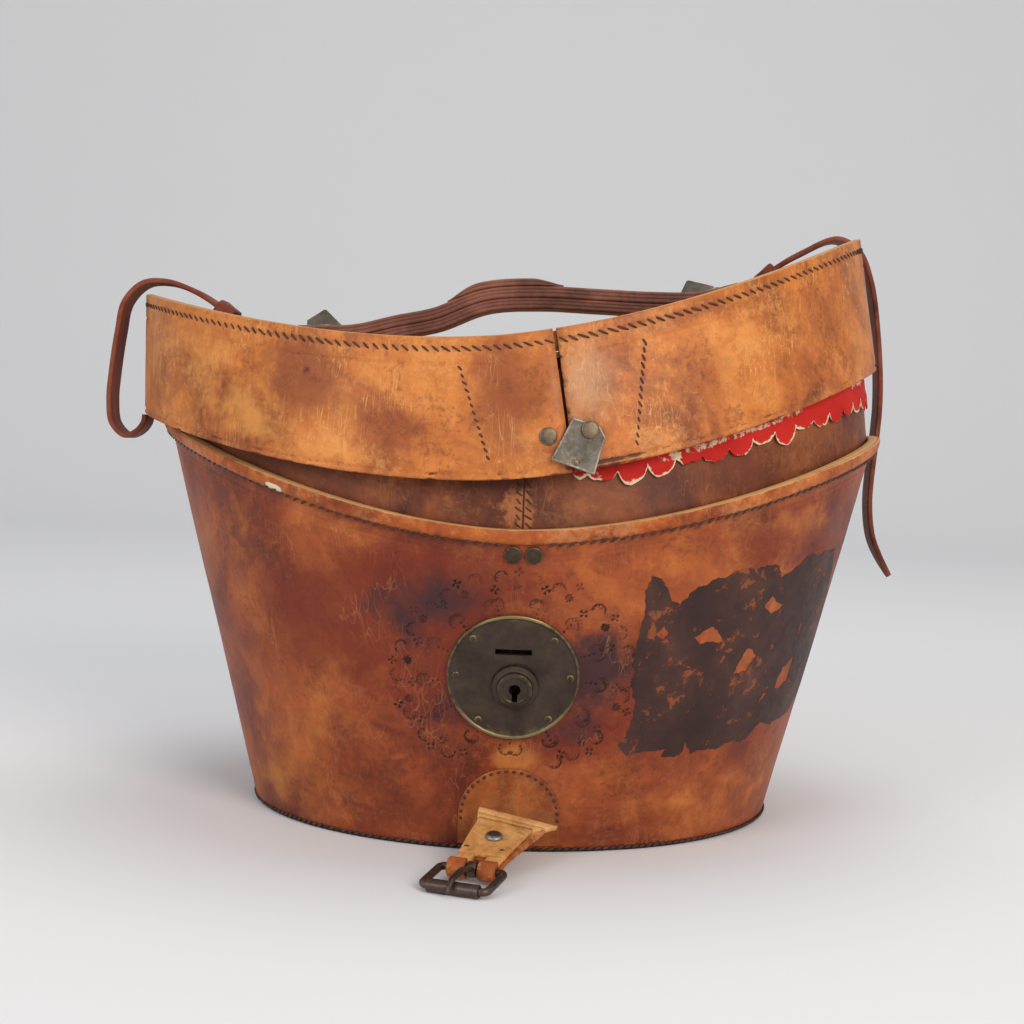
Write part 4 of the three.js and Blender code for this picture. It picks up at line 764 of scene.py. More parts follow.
# marks: name, kind, values on the points that the tree reads
def fromNodes(name, tree, given, points, edges, marks):
    line = bpy.data.meshes.new(name)
    line.from_pydata(points, edges, [])
    for mark, kind, values in marks:
        layer = line.attributes.new(mark, kind, "POINT")
        layer.data.foreach_set("vector" if kind == "FLOAT_VECTOR" else "value",
                               np.asarray(values, np.float32).ravel())
    base = linkObject(name + "_line", line)
    modifier = base.modifiers.new(name, "NODES")
    modifier.node_group = tree
    names = {item.name: item.identifier for item in tree.interface.items_tree if item.in_out == "INPUT"}
    for key, value in given.items():
        modifier[names[key]] = value
    mesh = realMesh(base)
    bpy.data.objects.remove(base)
    mesh.name = name
    mesh.shade_smooth()
    return linkObject(name, mesh)


def sewSeam(name, lines, sizes, body):  # lines: (points, outward vectors, closed)
    points, edges, outward = [], [], []
    for line, normals, closed in lines:
        first = len(points)
        points += [tuple(p * mm) for p in np.asarray(line, float)]
        outward += [tuple(n) for n in np.asarray(normals, float)]
        edges += [(k, k + 1) for k in range(first, len(points) - 1)]
        if closed:
            edges.append((len(points) - 1, first))
    given = {"Stitch": stitch, "Pitch": sizes["pitch"] * mm, "Length": sizes["length"] * mm,
             "Thread": sizes["thread"] * mm, "Slant": math.radians(sizes["slant"]),
             "Unevenness": math.radians(sizes["uneven"]), "Seed": sizes["seed"], "Material": darkThread}
    sewn = fromNodes(name, stitchTree, given, points, edges, [("outward", "FLOAT_VECTOR", outward)])
    place(sewn, darkThread, body, "dark_leather")


def driveRivets(name, places, head, material, body, *stoodFor):  # places: (point, outward, radius)
    points = [tuple(np.asarray(p, float) * mm) for p, n, r in places]
    marks = [("outward", "FLOAT_VECTOR", [n for p, n, r in places]),
             ("headSize", "FLOAT", [r * mm for p, n, r in places])]
    heads = fromNodes(name, rivetTree, {"Head": head, "Material": material}, points, [], marks)
    place(heads, material, body, "brass", *stoodFor)


# the bucket's wall
lockSet = {"x": 2.0, "z": 83.0, "radius": 29.0, "plate": 2.0, "bossX": 1.0, "bossV": -4.0, "bossRadius": 10.4,
           "keyRadius": 2.6, "keySlot": 2.4, "keyLength": 5.6, "slotV": 12.0, "slotLength": 16.0, "slotWidth": 2.6,
           "pinCircle": 25.0, "pinRadius": 1.9, "pinAngles": (0, 45, 135, 180, 234, 310)}
lockLean = math.atan((boxForm["rimWidth"] - boxForm["baseWidth"]) / boxForm["front"])
lockSpot = wallAt(frontAngle(lockSet["x"], wallAxes(lockSet["z"])[0]), lockSet["z"])
lockFrame = Matrix.Translation(Vector(lockSpot)) @ Matrix.Rotation(math.pi / 2 + lockLean, 4, "X")


def wallSag(across, up):  # how far the wall falls away from the lock's flat frame
    a, b = wallAxes(lockSet["z"] + up * math.cos(lockLean))
    wallY = -b * np.sqrt(1 - ((lockSet["x"] + across) / a) ** 2)
    planeY = lockSpot[1] - up * math.sin(lockLean)
    return (wallY - planeY) * math.cos(lockLean)


toolSet = {"sprays": 13, "starRadius": 51.0, "floretRadius": 45.0, "leafRadius": 37.0, "leafTurn": 10.5,
           "betweenRadius": 43.5, "wide": 1.06, "tall": 0.92, "depth": 0.5, "seed": 11,
           "top": 136, "clearHalf": 20, "clearTop": 44}  # none above the top or on the leather under the tab


def toolStamps():  # (x, z, turn, kind, weight) of each hand stamp in a ring of sprays round the lock
    s = toolSet
    pick = np.random.default_rng(s["seed"])
    stamps = []
    step, leafSwing = tau / s["sprays"], math.radians(s["leafTurn"])
    spray = [(s["starRadius"], 0.0, "star"), (s["floretRadius"], 0.0, "floret"),
             (s["leafRadius"], leafSwing, "leaf"), (s["leafRadius"], -leafSwing, "leafBack"),
             (s["betweenRadius"], step / 2, "star"), (s["betweenRadius"] + 5, step * 0.36, "leafBack"),
             (s["betweenRadius"] + 5, -step * 0.36, "leaf"), (s["leafRadius"] - 4.5, step / 2, "dots")]
    for k in range(s["sprays"]):
        turn = math.pi / 2 + k * step + pick.uniform(-0.04, 0.04)
        for radius, swing, kind in spray:
            r = radius + pick.uniform(-1.3, 1.3)
            a = turn + swing + pick.uniform(-0.02, 0.02)
            x, z = lockSet["x"] + r * math.cos(a) * s["wide"], lockSet["z"] + r * math.sin(a) * s["tall"]
            stamps.append((x, z, a, kind, pick.uniform(0.5, 1.0)))
    onTab = [abs(p[0] - lockSet["x"]) < s["clearHalf"] and p[1] < s["clearTop"] for p in stamps]
    return [p for p, under in zip(stamps, onTab) if p[1] < s["top"] and not under]


def stampDepth(x, z):  # 0 to 1 over the front of the wall
    depth = np.zeros_like(x)
    for cx, cz, turn, kind, weight in toolStamps():
        near = (np.abs(x - cx) < 5) & (np.abs(z - cz) < 5)
        if not near.any():
            continue
        p, q = x[near] - cx, z[near] - cz
        u = p * math.cos(turn) + q * math.sin(turn)
        v = -p * math.sin(turn) + q * math.cos(turn)
        r, angle = np.hypot(u, v), np.arctan2(v, u)
        if kind == "star":  # four petals
            petal = np.abs(np.cos(2 * angle))
            mark = smooth(0.55, 0.8, petal) * smooth(2.3, 1.9, r) * smooth(0.25, 0.55, r)
        elif kind == "floret":
            rays = smooth(0.2, 0.5, np.cos(8 * angle)) * smooth(2.4, 2.0, r) * smooth(0.9, 1.2, r)
            mark = rays + 0.6 * smooth(2.0, 1.5, r)
        elif kind == "dots":
            mark = sum(smooth(0.75, 0.4, np.hypot(u - du, v)) for du in (-2.2, 0.0, 2.2))
        else:  # a curled leaf with a row of nicks along its inner edge
            side = 1 if kind == "leaf" else -1
            ring = np.hypot(u + 0.6, v - side * 1.2)
            sweep = np.arctan2(side * (v - side * 1.2), u + 0.6)
            band = smooth(0.62, 0.3, np.abs(ring - 2.9)) * smooth(-2.6, -2.2, sweep) * smooth(1.6, 1.2, sweep)
            nicks = smooth(0.3, 0.7, np.cos(9 * sweep)) * smooth(1.2, 1.6, ring) * smooth(2.8, 2.4, ring)
            mark = 0.74 * np.maximum(0.85 * band, nicks * smooth(-2.4, -2.0, sweep) * smooth(1.2, 0.8, sweep))
        depth[near] = np.maximum(depth[near], np.clip(mark, 0, 1) * weight)
    return depth


def blobs(t, z, spots):  # soft patches: (degrees round from the front, height, half width, half height, weight)
    total = np.zeros(np.broadcast_shapes(np.shape(t), np.shape(z)))
    degrees = (np.degrees(t) + 90 + 180) % 360 - 180
    for at, height, wide, tall, weight in spots:
        total = total + weight * np.exp(-((degrees - at) / wide) ** 2 - ((z - height) / tall) ** 2)
    return total


wallSet = {
    "fine": 0.6, "fineFrom": -62.0, "fineTo": 66.0, "coarseDegrees": 2.4, "edge": 0.9, "dent": 0.5, "crease": 9.5,
    "hole": 1.4,
    "flush": [(-21, 114, 16, 26, 0.75), (-38, 98, 15, 30, 0.8), (-10, 70, 14, 22, 0.6), (-6, 124, 14, 14, 0.65),
              (16, 62, 13, 22, 0.6), (13, 112, 7, 14, 0.35), (0, 83, 20, 44, 0.3), (170, 90, 40, 40, 0.5),
              (95, 120, 22, 30, 0.45), (-90, 70, 25, 30, 0.45), (43, 138, 7, 16, 0.8), (12, 52, 6, 12, 0.45)],
    "stain": [(15, 88, 7, 19, 1.15), (-9, 118, 10, 14, 0.7), (-10, 62, 9, 13, 0.6), (11, 60, 8, 12, 0.6),
              (-20, 110, 8, 14, 0.5), (-15, 88, 5, 18, 0.4), (-34, 74, 9, 16, 0.35), (140, 60, 18, 30, 0.5),
              (-120, 110, 20, 26, 0.45), (38, 118, 9, 12, 0.2)],
    "pale": [(-53, 140, 10, 42, 0.5), (-46, 18, 24, 16, 0.5), (30, 20, 26, 16, 0.5), (51, 152, 24, 10, 0.6),
             (24, 132, 8, 9, 0.5), (1.5, 46, 5.0, 8, 1.0), (62, 36, 14, 26, 0.5), (-16, 74, 4, 9, 0.4),
             (-58, 50, 8, 40, 0.5), (-27, 138, 10, 5, 0.4)],
}


def wallDent(points):  # the hide's own unevenness, slack inwards
    return wallSet["dent"] * (dents(points, 70, 3.1) - 0.35) + 0.1 * dents(points, 13, 7.7) - 0.06


def makeWall():
    s = wallSet
    halfLength = wallAxes(lockSet["z"])[0]
    first, last = frontAngle(s["fineFrom"], halfLength), frontAngle(s["fineTo"], halfLength)
    fine = np.arange(first, last, s["fine"] / halfLength)
    coarse = np.linspace(last, first + tau, int(math.degrees(first + tau - last) / s["coarseDegrees"]))[:-1]
    t = np.concatenate([fine, coarse])
    top = rimHeight(t) - 2.2 - gap
    heights = np.concatenate([np.linspace(s["edge"], 28, 12),
                              np.arange(28 + s["fine"], boxForm["front"] - 2.5 - s["edge"], s["fine"])])
    share = heights / (boxForm["front"] - 2.5)
    z = share[:, None] * top[None, :]
    angle = np.broadcast_to(t, z.shape)
    skin = wallAt(angle, z)
    x = skin[..., 0]
    isFront = skin[..., 1] < 0
    tool = np.where(isFront, stampDepth(x, z), 0)
    key = np.array(lockFrame.inverted())
    local = skin @ key[:3, :3].T + key[:3, 3]
    u, v = local[..., 0] - lockSet["bossX"], local[..., 1] - lockSet["bossV"]
    keyhole = np.hypot(u, v) < lockSet["keyRadius"] + s["hole"]
    keyhole |= (np.abs(u) < lockSet["keySlot"] / 2 + s["hole"]) & (v < 0) & (v > -lockSet["keyLength"] - s["hole"])
    slot = np.abs(local[..., 0]) < lockSet["slotLength"] / 2 + s["hole"]
    slot &= np.abs(local[..., 1] - lockSet["slotV"]) < lockSet["slotWidth"] / 2 + s["hole"]
    hole = (keyhole | slot) & isFront
    below = top[None, :] - z
    upper, lower = np.abs(below - s["crease"]), np.abs(below - s["crease"] - 2.6)
    crease = smooth(0.75, 0.3, upper) + 0.7 * smooth(0.7, 0.3, lower)
    quiet = smooth(34, 42, np.hypot(local[..., 0], local[..., 1])) * smooth(3.5, 9, below)
    push = wallDent(skin) * quiet - 0.1 - tool * toolSet["depth"] - 0.22 * crease - np.where(hole, 3.2, 0)
    skin = wallAt(angle, z, push)
    marks = {k: blobs(angle, z, s[k]) for k in ("flush", "stain", "pale")}
    # the tool mark is dark in the stamps, and is painted shade in the holes behind the lock's slot and keyhole and
    # along the crease under the rim
    marks["tool"] = np.maximum(tool * 0.85, np.maximum(np.where(hole, 1.0, 0), 0.18 * crease))
    marks["edge"] = smooth(3.2, 0.6, z)
    # painted shade in the stain mark just under the rim binding, added on top of the stains
    marks["stain"] = marks["stain"] + 0.45 * smooth(5, 0.5, below)
    rim = [wallAt(t, top - 0.3, -0.35), wallAt(t, top, -0.9), wallAt(t, top, -3.4), wallAt(t, top - 0.4, -4.0)]
    inside = [wallAt(t, top * k, -4.0) for k in (0.75, 0.5, 0.25)]
    foot = [wallAt(t, 0.5, -4.0), wallAt(t, 0.0, -3.5), wallAt(t, 0.0, -0.9), wallAt(t, 0.3, -0.3)]
    rows = np.concatenate([skin, rim, inside, foot])
    extra = len(rows) - len(skin)
    for mark in marks:
        fill = np.ones((extra, len(t))) * (1.0 if mark == "edge" else 0.0)
        marks[mark] = np.concatenate([marks[mark], fill])
    place(sweepMesh("wall_leather", rows, True, marks), wallLeather, "box", "tan_leather", "body_wall")


makeWall()
print("wall made")

# torn paper left on the wall: (degrees round from the front, height) round its outline and its holes
paperSet = {
    "lift": 0.14, "grid": 4.0, "ragged": 1.5, "nibble": 0.8, "step": 0.8, "seed": 5,
    "perDegree": 2.5, "tearSizes": (6.5, 2.1), "across": (54, 208), "up": (44, 138),
    "outline": [(22, 129.5), (23.9, 128.8), (26.6, 117.7), (28.4, 115.1), (29.6, 122), (33, 125.2), (37.8, 130.8),
                (42.2, 131.1), (47.4, 132.8), (49.7, 126.1), (53.6, 129.9), (57, 135.6), (69.7, 136.6),
                (74.5, 117.9), (80, 100), (82, 80), (80, 66), (71.8, 55.9), (60, 52.9), (56.1, 55.2), (50.3, 46.7),
                (47.9, 48.5), (42, 45.9), (36.9, 44.8), (34.4, 51.9), (34.2, 44.7), (30.2, 43.3), (30.4, 47.8),
                (25.7, 47.8), (22.3, 45.3), (20.7, 52.2), (22.9, 65.3), (21.5, 79.6), (21.5, 99.6)],
    "holes": [[(24.4, 103.5), (25.8, 106.6), (27, 103.3), (26.1, 101.6)],
              [(32.1, 100.9), (35.3, 105), (37, 104.4), (38.5, 97.6), (33.3, 97.7)],
              [(47, 113.6), (48.2, 118), (52.5, 113), (49.4, 109.8)],
              [(43, 82), (45.4, 93.9), (48.4, 90), (46.6, 81.8)],
              [(63.6, 86.6), (63, 73.9), (58, 71.6), (59.3, 81.4)],
              [(55.7, 72.3), (53.1, 63.8), (53.8, 70.2)],
              [(23.4, 48.8), (25.1, 55.9), (24, 48.8)]],
}


def raggedLoop(corners, pick):  # a torn edge between given corners
    s = paperSet
    loop = []
    for (a, za), (b, zb) in zip(corners, corners[1:] + corners[:1]):
        count = max(2, int(math.hypot((b - a) * s["perDegree"], zb - za) / s["step"]))
        for k in range(count):
            f = k / count
            u, z = (a + (b - a) * f) * s["perDegree"], za + (zb - za) * f
            big, small = (noise.noise_vector(Vector((u, z, s["seed"])) / size) for size in s["tearSizes"])
            loop.append((u + s["ragged"] * big[0] + s["nibble"] * small[0] + pick.normal(0, 0.08),
                         z + s["ragged"] * big[1] + s["nibble"] * small[1]))
    return loop


def insideLoop(x, y, loop):
    inside = False
    for (x1, y1), (x2, y2) in zip(loop, loop[1:] + loop[:1]):
        if (y1 > y) != (y2 > y) and x < (x2 - x1) * (y - y1) / (y2 - y1) + x1:
            inside = not inside
    return inside


def makePaper():
    s = paperSet
    pick = np.random.default_rng(s["seed"])
    noise.seed_set(s["seed"])
    loops = [raggedLoop(corners, pick) for corners in [s["outline"], *s["holes"]]]
    onPaper = lambda u, z: insideLoop(u, z, loops[0]) and not any(insideLoop(u, z, hole) for hole in loops[1:])
    flat, edges = [], []
    for loop in loops:
        first = len(flat)
        flat += [Vector(p) for p in loop]
        edges += [(first + k, first + (k + 1) % len(loop)) for k in range(len(loop))]
    for u in np.arange(*s["across"], s["grid"]):
        flat += [Vector((u, z)) for z in np.arange(*s["up"], s["grid"]) if onPaper(u, z)]
    cut = delaunay_2d_cdt(flat, edges, [], 0, 1e-5)
    points, faces = cut[0], cut[2]
    kept = [tuple(f) for f in faces if onPaper(*(sum(points[k][axis] for k in f) / 3 for axis in (0, 1)))]
    t = frontTurn + np.radians(np.array([p[0] for p in points]) / s["perDegree"])
    z = np.array([p[1] for p in points])
    dent = wallDent(wallAt(t, z)) - 0.1
    upper, lower = wallAt(t, z, dent + s["lift"]), wallAt(t, z, dent + 0.02)
    count = len(points)
    uses = {}
    for face in kept:
        for a, b in zip(face, face[1:] + face[:1]):
            uses.setdefault((min(a, b), max(a, b)), []).append((a, b))
    border = [pairs[0] for pairs in uses.values() if len(pairs) == 1]
    shell = [list(f) for f in kept] + [[count + k for k in reversed(f)] for f in kept]
    shell += [[b, a, a + count, b + count] for a, b in border]
    paper = makeObject("paper_remnant", np.concatenate([upper, lower]), shell, None, 40)
    work = bmesh.new()
    work.from_mesh(paper.data)
    bmesh.ops.delete(work, geom=[v for v in work.verts if not v.link_faces], context="VERTS")
    work.to_mesh(paper.data)
    work.free()
    place(paper, labelPaper, "box", "pasteboard")


makePaper()
print("paper remnant made")

# rim welt, base edge and collar
weltSet = {"drop": 6.5, "out": 2.5, "columns": 320, "wave": 0.18}


def makeWelt():
    s = weltSet
    t = fullTurn(s["columns"])
    rim = rimHeight(t)
    outer = gap + s["out"]
    # (height from the rim, out): a rounded bead over the edge with a raw lip of two leathers on top
    section = [(-6.5, 0.5), (-6.45, 1.3), (-6.1, 2.0), (-5.2, 2.55), (-4.0, outer), (-2.4, outer),
               (-1.2, outer - 0.1), (-0.45, outer - 0.4), (-0.1, outer - 0.9), (0.0, outer - 1.4),
               (-0.35, outer - 1.75), (-0.05, outer - 2.1), (0.0, -1.2), (0.0, -2.8), (-0.2, -3.4), (-0.8, -3.7),
               (-2.1, -3.7), (-2.2, -3.5), (-2.2, 0.4), (-2.6, gap), (-6.2, gap)]
    edge = [0, 0, 0, 0, 0, 0, 0.05, 0.35, 0.8, 0.9, 0.1, 0.8, 0.9, 0.8, 0.6, 0.4, 0.2, 0, 0, 0, 0]
    base = wallAt(t, rim, 0)
    wave = s["wave"] * dents(base, 16, 2.2)
    rows, edges, chips = [], [], []
    degrees = (np.degrees(t) + 270) % 360 - 180
    for (h, out), worn in zip(section, edge):
        push = wave if out > 1 else 0
        chip = np.exp(-((degrees + 38.6) / 1.9) ** 2) * (1.0 if -6.6 < h < -3.6 and out > 0.4 else 0)
        rows.append(wallAt(t, rim + h, out + push - 0.5 * chip))
        edges.append(np.clip(worn + 0.25 * dents(base, 30, 5.0) * (worn > 0), 0, 1))
        chips.append(chip)
    binding = sweepMesh("rim_binding", rows, True, {"edge": edges, "chip": chips})
    place(binding, weltLeather, "box", "tan_leather", "rim_welt")


makeWelt()
collarSet = {"depth": 25.0, "height": 34.8, "board": 2.6, "columns": 300, "seamX": 4.5, "halfLength": 171.0,
             "pale": [(-9, 160, 9, 8, 0.34), (1.0, 156, 2.6, 14, 0.75), (-22, 168, 9, 5, 0.4),
                      (30, 160, 20, 5, 0.25)],
             "flush": [(30, 170, 26, 9, 0.6), (-30, 170, 12, 8, 0.5), (60, 190, 20, 12, 0.5)]}


def makeCollar():
    s = collarSet
    seamTurn = frontAngle(s["seamX"], s["halfLength"])
    t = np.sort(np.concatenate([fullTurn(s["columns"]) - math.pi,
                                seamTurn + np.linspace(-0.012, 0.012, 13)]))
    section = roundSection(-s["depth"], s["height"], 0.0, -s["board"], 0.7, 26, 8)
    rows, edge, seam = [], [], []
    for h, out in section:
        seam.append(smooth(0.003, 0.0012, np.abs(t - seamTurn)))
        groove = 0.55 * smooth(0.0038, 0.0008, np.abs(t - seamTurn)) * (1 if out > -1 else 0)
        slack = 0.35 * (dents(collarAt(t, h), 45, 9.0) - 0.3) if out > -0.1 else 0
        rows.append(collarAt(t, h, out - groove + slack))
        edge.append(np.full(len(t), smooth(s["height"] - 1.2, s["height"] - 0.2, h)))
    grid = np.asarray(rows)
    turn = np.arctan2(grid[..., 1] / boxForm["rimWidth"], grid[..., 0] / boxForm["rimLength"])
    marks = {k: blobs(turn, grid[..., 2], s[k]) for k in ("pale", "flush")}
    marks["edge"], marks["seam"] = edge, seam
    place(sweepMesh("collar_leather", rows, True, marks), collarLeather, "box", "edge_leather", "collar")


makeCollar()
turnoverSet = {"fromDegrees": 6.5, "toDegrees": 150.0, "top": 34.8, "low": 15.2, "lobe": 13.2, "lobeDepth": 7.6,
               "thick": 0.7, "flatWidth": 0.0186, "seed": 3}


def makeTurnover():  # red lining cloth turned over the collar, its lower edge pinked in scallops and torn
    s = turnoverSet
    pick = np.random.default_rng(s["seed"])
    t = frontTurn + np.radians(np.linspace(s["fromDegrees"], s["toDegrees"], 620))
    line = collarAt(t, s["low"])
    run = np.concatenate([[0], np.cumsum(np.linalg.norm(np.diff(line, axis=0), axis=1))])
    lobe = run / s["lobe"]
    each = pick.uniform(0.35, 1.15, int(lobe[-1]) + 2)
    phase = lobe - np.floor(lobe)
    scallop = each[lobe.astype(int)] * np.sqrt(np.clip(1 - (2 * phase - 1) ** 2, 0, 1))
    lower = s["low"] + s["lobeDepth"] * (1 - scallop)
    lower += 0.9 * dents(line, 4, 1.5) + 0.5 * dents(line, 1.6, 4.5)
    end = smooth(0, 10, run) * smooth(0, 14, run[-1] - run)
    lower = s["top"] - (s["top"] - lower) * np.clip(end, 0.05, 1)
    shares = np.linspace(0, 1, 15)
    outer = gap + s["thick"]
    lift = 0.25 * dents(line, 14, 6.0) + 0.25
    lidEdge = seatLid(lidAt(t, 0.0))[:, 2]
    rows, fray = [], []
    for k in shares:
        h = lower + (s["top"] - lower) * k
        curl = 0.5 * smooth(0.25, 0.0, k)
        rows.append(collarAt(t, h, outer - 0.15 + lift * (1 - k) + curl))
        depth = h - lower
        underLid = smooth(3.4, 0.8, np.abs(lidEdge - rows[-1][:, 2] - 3.6))
        rubbed = 0.54 * underLid * smooth(-0.3, 0.1, dents(line, 24, 8.5))
        patchy = 0.34 * (dents(line, 17, 2.5) > 0.12) * smooth(4.5, 1, depth)
        fray.append(0.5 * smooth(1.4, 0.2, depth) + rubbed + patchy)
    for k in shares[::-1]:
        h = lower + (s["top"] - lower) * k
        curl = 0.5 * smooth(0.25, 0.0, k)
        rows.append(collarAt(t, h, gap + 0.05 + lift * (1 - k) + curl))
        fray.append(np.full(len(t), 0.4))
    cloth = sweepMesh("red_turnover", rows, False, {"fray": fray})
    place(cloth, redCloth, "box", "red_cloth", "lining_turnover")


makeTurnover()
liningSet = {"columns": 160, "thick": 1.2, "board": 2.6, "base": 2.6, "rows": 10, "slack": 0.4, "wrinkle": 0.6,
             "flat": (0.95, 0.46)}


def makeLining():  # the red cup inside the box, pasted to the board
    s = liningSet
    t = fullTurn(s["columns"])
    outer = -boxForm["wall"] - s["board"] - 2 * gap
    inner = outer - s["thick"]
    floor = s["base"] + gap
    edge = -collarSet["board"] - gap
    rim = rimHeight(t)
    shares = np.linspace(0, 1, s["rows"])
    rows = [wallAt(t, floor, outer) * np.array([k, k, 1]) for k in (0.4, 0.8)]
    rows += [wallAt(t, floor + (rim - floor) * k, outer) for k in shares]
    rows += [collarAt(t, collarSet["height"] * k, edge) for k in (0.5, 1.0)]
    rows += [collarAt(t, collarSet["height"] * k, edge - s["thick"]) for k in (1.0, 0.5)]
    for k in shares[::-1]:
        z = floor + s["thick"] + (rim - floor - s["thick"]) * k
        wrinkle = s["wrinkle"] * dents(wallAt(t, z, inner), 38, 12.0)
        rows.append(wallAt(t, z, inner - s["slack"] + wrinkle))
    rows += [wallAt(t, floor + s["thick"], inner) * np.array([k, k, 1]) for k in (0.8, 0.4)]
    cup = dishMesh("red_lining_cup", rows, (0, 0, floor), (0, 0, floor + s["thick"]))
    place(cup, redCloth, "box", "red_cloth", "crown_lining")


makeLining()
print("rim, collar and linings made")


# seams on the box: pitch, length and thread in millimetres, slant and unevenness in degrees
seamSet = {"rim": {"pitch": 4.5, "length": 4.3, "thread": 1.15, "slant": 26, "uneven": 9, "seed": 2},
           "foot": {"pitch": 3.7, "length": 3.7, "thread": 1.3, "slant": 20, "uneven": 8, "seed": 3},
           "collar": {"pitch": 3.1, "length": 3.6, "thread": 0.75, "slant": 48, "uneven": 14, "seed": 4},
           "rimGap": (-6, 17), "rimDrop": 6.6, "footHeight": 1.7, "collarApart": 2.3, "collarFrom": 1.5,
           "collarTo": 22}


def wallSeam(t, z, out):
    slope = np.full(len(t), -40.0)
    normals = np.stack([np.cos(t) * boxForm["rimWidth"], np.sin(t) * boxForm["rimLength"], slope], -1)
    return wallAt(t, z, out), unitRows(normals)


def sewBox():
    s = seamSet
    ring = np.linspace(-math.pi, math.pi, 500)[:-1]
    gapFrom, gapTo = (frontAngle(x, boxForm["rimLength"]) for x in s["rimGap"])
    awayFromRivets = ring[(ring < gapFrom) | (ring > gapTo)]
    rimLine = np.roll(awayFromRivets, -int(np.argmax(np.diff(awayFromRivets))) - 1)
    rimPoints = wallSeam(rimLine, rimHeight(rimLine) - s["rimDrop"], 1.9)
    sewSeam("rim_stitches", [(*rimPoints, False)], s["rim"], "box")
    footPoints = wallSeam(ring, np.full(len(ring), s["footHeight"]), 0.15)
    sewSeam("foot_stitches", [(*footPoints, True)], s["foot"], "box")
    lines = []
    for shift in (-s["collarApart"], s["collarApart"]):
        h = np.linspace(s["collarFrom"], s["collarTo"], 16)
        turn = np.full(len(h), frontAngle(collarSet["seamX"] + shift, collarSet["halfLength"]))
        lines.append((collarAt(turn, h, 0.0), np.tile((0.0, -0.98, -0.17), (len(h), 1)), False))
    sewSeam("collar_stitches", lines, s["collar"], "box")


sewBox()
print("box seams sewn")


# the lock
def cutThrough(made, cutters):  # cuts each cutter's solid out of the piece
    for cutter in cutters:
        modifier = made.modifiers.new("cut", "BOOLEAN")
        modifier.operation, modifier.solver, modifier.object = "DIFFERENCE", "EXACT", cutter
    mesh = realMesh(made)
    made.modifiers.clear()
    made.data = mesh
    mesh.set_sharp_from_angle(angle=math.radians(35))
    for cutter in cutters:
        bpy.data.objects.remove(cutter)


def prism(name, outline, low, high):  # a cutter in the lock's frame
    count = len(outline)
    points = [(x, y, z) for z in (low, high) for x, y in outline]
    faces = [[k, (k + 1) % count, count + (k + 1) % count, count + k] for k in range(count)]
    faces += [list(range(count))[::-1], list(range(count, 2 * count))]
    return makeObject(name, through(lockFrame, points), faces)


def keyOutline():
    s = lockSet
    half = s["keySlot"] / 2
    start = -math.pi / 2 + math.asin(half / s["keyRadius"])
    turn = np.linspace(start, start + tau - 2 * math.asin(half / s["keyRadius"]), 22)
    loop = [(s["bossX"] + s["keyRadius"] * math.cos(a), s["bossV"] + s["keyRadius"] * math.sin(a)) for a in turn]
    return loop + [(s["bossX"] - half, s["bossV"] - s["keyLength"]),
                   (s["bossX"] + half, s["bossV"] - s["keyLength"])]


def makeLock():
    s = lockSet
    face = gap + s["plate"]
    rim = s["radius"]
    # a turned disc with a raised bead at its rim and a fine scribed line inside the bead
    profile = [(0, gap), (rim - 0.3, gap), (rim, gap + 0.4), (rim, face - 0.25), (rim - 0.35, face),
               (rim - 1.1, face), (rim - 1.5, face - 0.35), (rim - 1.9, face - 0.5), (rim - 2.5, face - 0.42)]
    profile += [(r, face - 0.42) for r in np.arange(rim - 4, 1, -2.0)] + [(0, face - 0.42)]
    points, faces = turnedMesh(profile, 120)
    r = np.hypot(points[:, 0], points[:, 1])
    # the rim bead is lighter all round as wear; it is lighter still on its top and bottom arcs and on the face near
    # them, a painted highlight
    low = smooth(-0.3, -1.0, points[:, 1] / np.maximum(r, 1e-3))
    ends = np.maximum(low, 0.8 * smooth(0.8, 1.0, points[:, 1] / np.maximum(r, 1e-3)))
    worn = smooth(rim - 1.6, rim - 0.8, r) * (0.5 + 0.35 * ends) + smooth(rim - 7, rim - 2.5, r) * 0.42 * ends
    points[:, 2] -= wallSag(points[:, 0], points[:, 1])
    plate = makeObject("lock_escutcheon", through(lockFrame, points), faces, {"worn": worn})
    half, tall = s["slotLength"] / 2, s["slotWidth"] / 2
    corners = [(x, s["slotV"] + y) for x, y in ((-half, -tall), (half, -tall), (half, tall), (-half, tall))]
    cutThrough(plate, [prism("slotCutter", corners, -9, 9), prism("keyCutter", keyOutline(), -9, 9)])
    place(plate, lockBrass, "box", "brass", "lock_plate")
    foot = face - 0.45
    b = s["bossRadius"]
    boss = [(0, foot), (b, foot), (b, face + 1.1), (b - 0.3, face + 1.7), (b - 1.0, face + 2.0),
            (b - 1.9, face + 2.05), (b - 2.3, face + 2.3), (b - 2.5, face + 3.1), (b - 2.8, face + 3.7),
            (b - 3.5, face + 4.0), (b - 4.6, face + 4.1), (b - 5.0, face + 3.8), (0, face + 3.75)]
    points, faces = turnedMesh(boss, 72)
    ring = smooth(b - 3.9, b - 3.2, np.hypot(points[:, 0], points[:, 1]))
    worn = 0.55 * ring * smooth(face + 3.2, face + 3.9, points[:, 2])
    points = points + np.array([s["bossX"], s["bossV"], 0])
    dome = makeObject("lock_keyhole_boss", through(lockFrame, points), faces, {"worn": worn})
    cutThrough(dome, [prism("keyCutter", keyOutline(), -9, 12)])
    place(dome, lockBrass, "box", "brass", "lock_boss")
    outward = np.array(lockFrame)[:3, 2]
    pins = []
    for angle in s["pinAngles"]:
        a = math.radians(angle)
        across, up = s["pinCircle"] * math.cos(a), s["pinCircle"] * math.sin(a)
        seat = through(lockFrame, (across, up, face - 0.45 - float(wallSag(across, up))))
        pins.append((seat, outward, s["pinRadius"] * 0.9))
    driveRivets("lock_pins", pins, pinHead, lockBrass, "box", *[f"lock_pin_{k + 1}" for k in range(len(pins))])


makeLock()
rimRivetSet = {"xs": (0.5, 9.4), "z": 137.5, "radius": 3.9, "sink": 0.1}


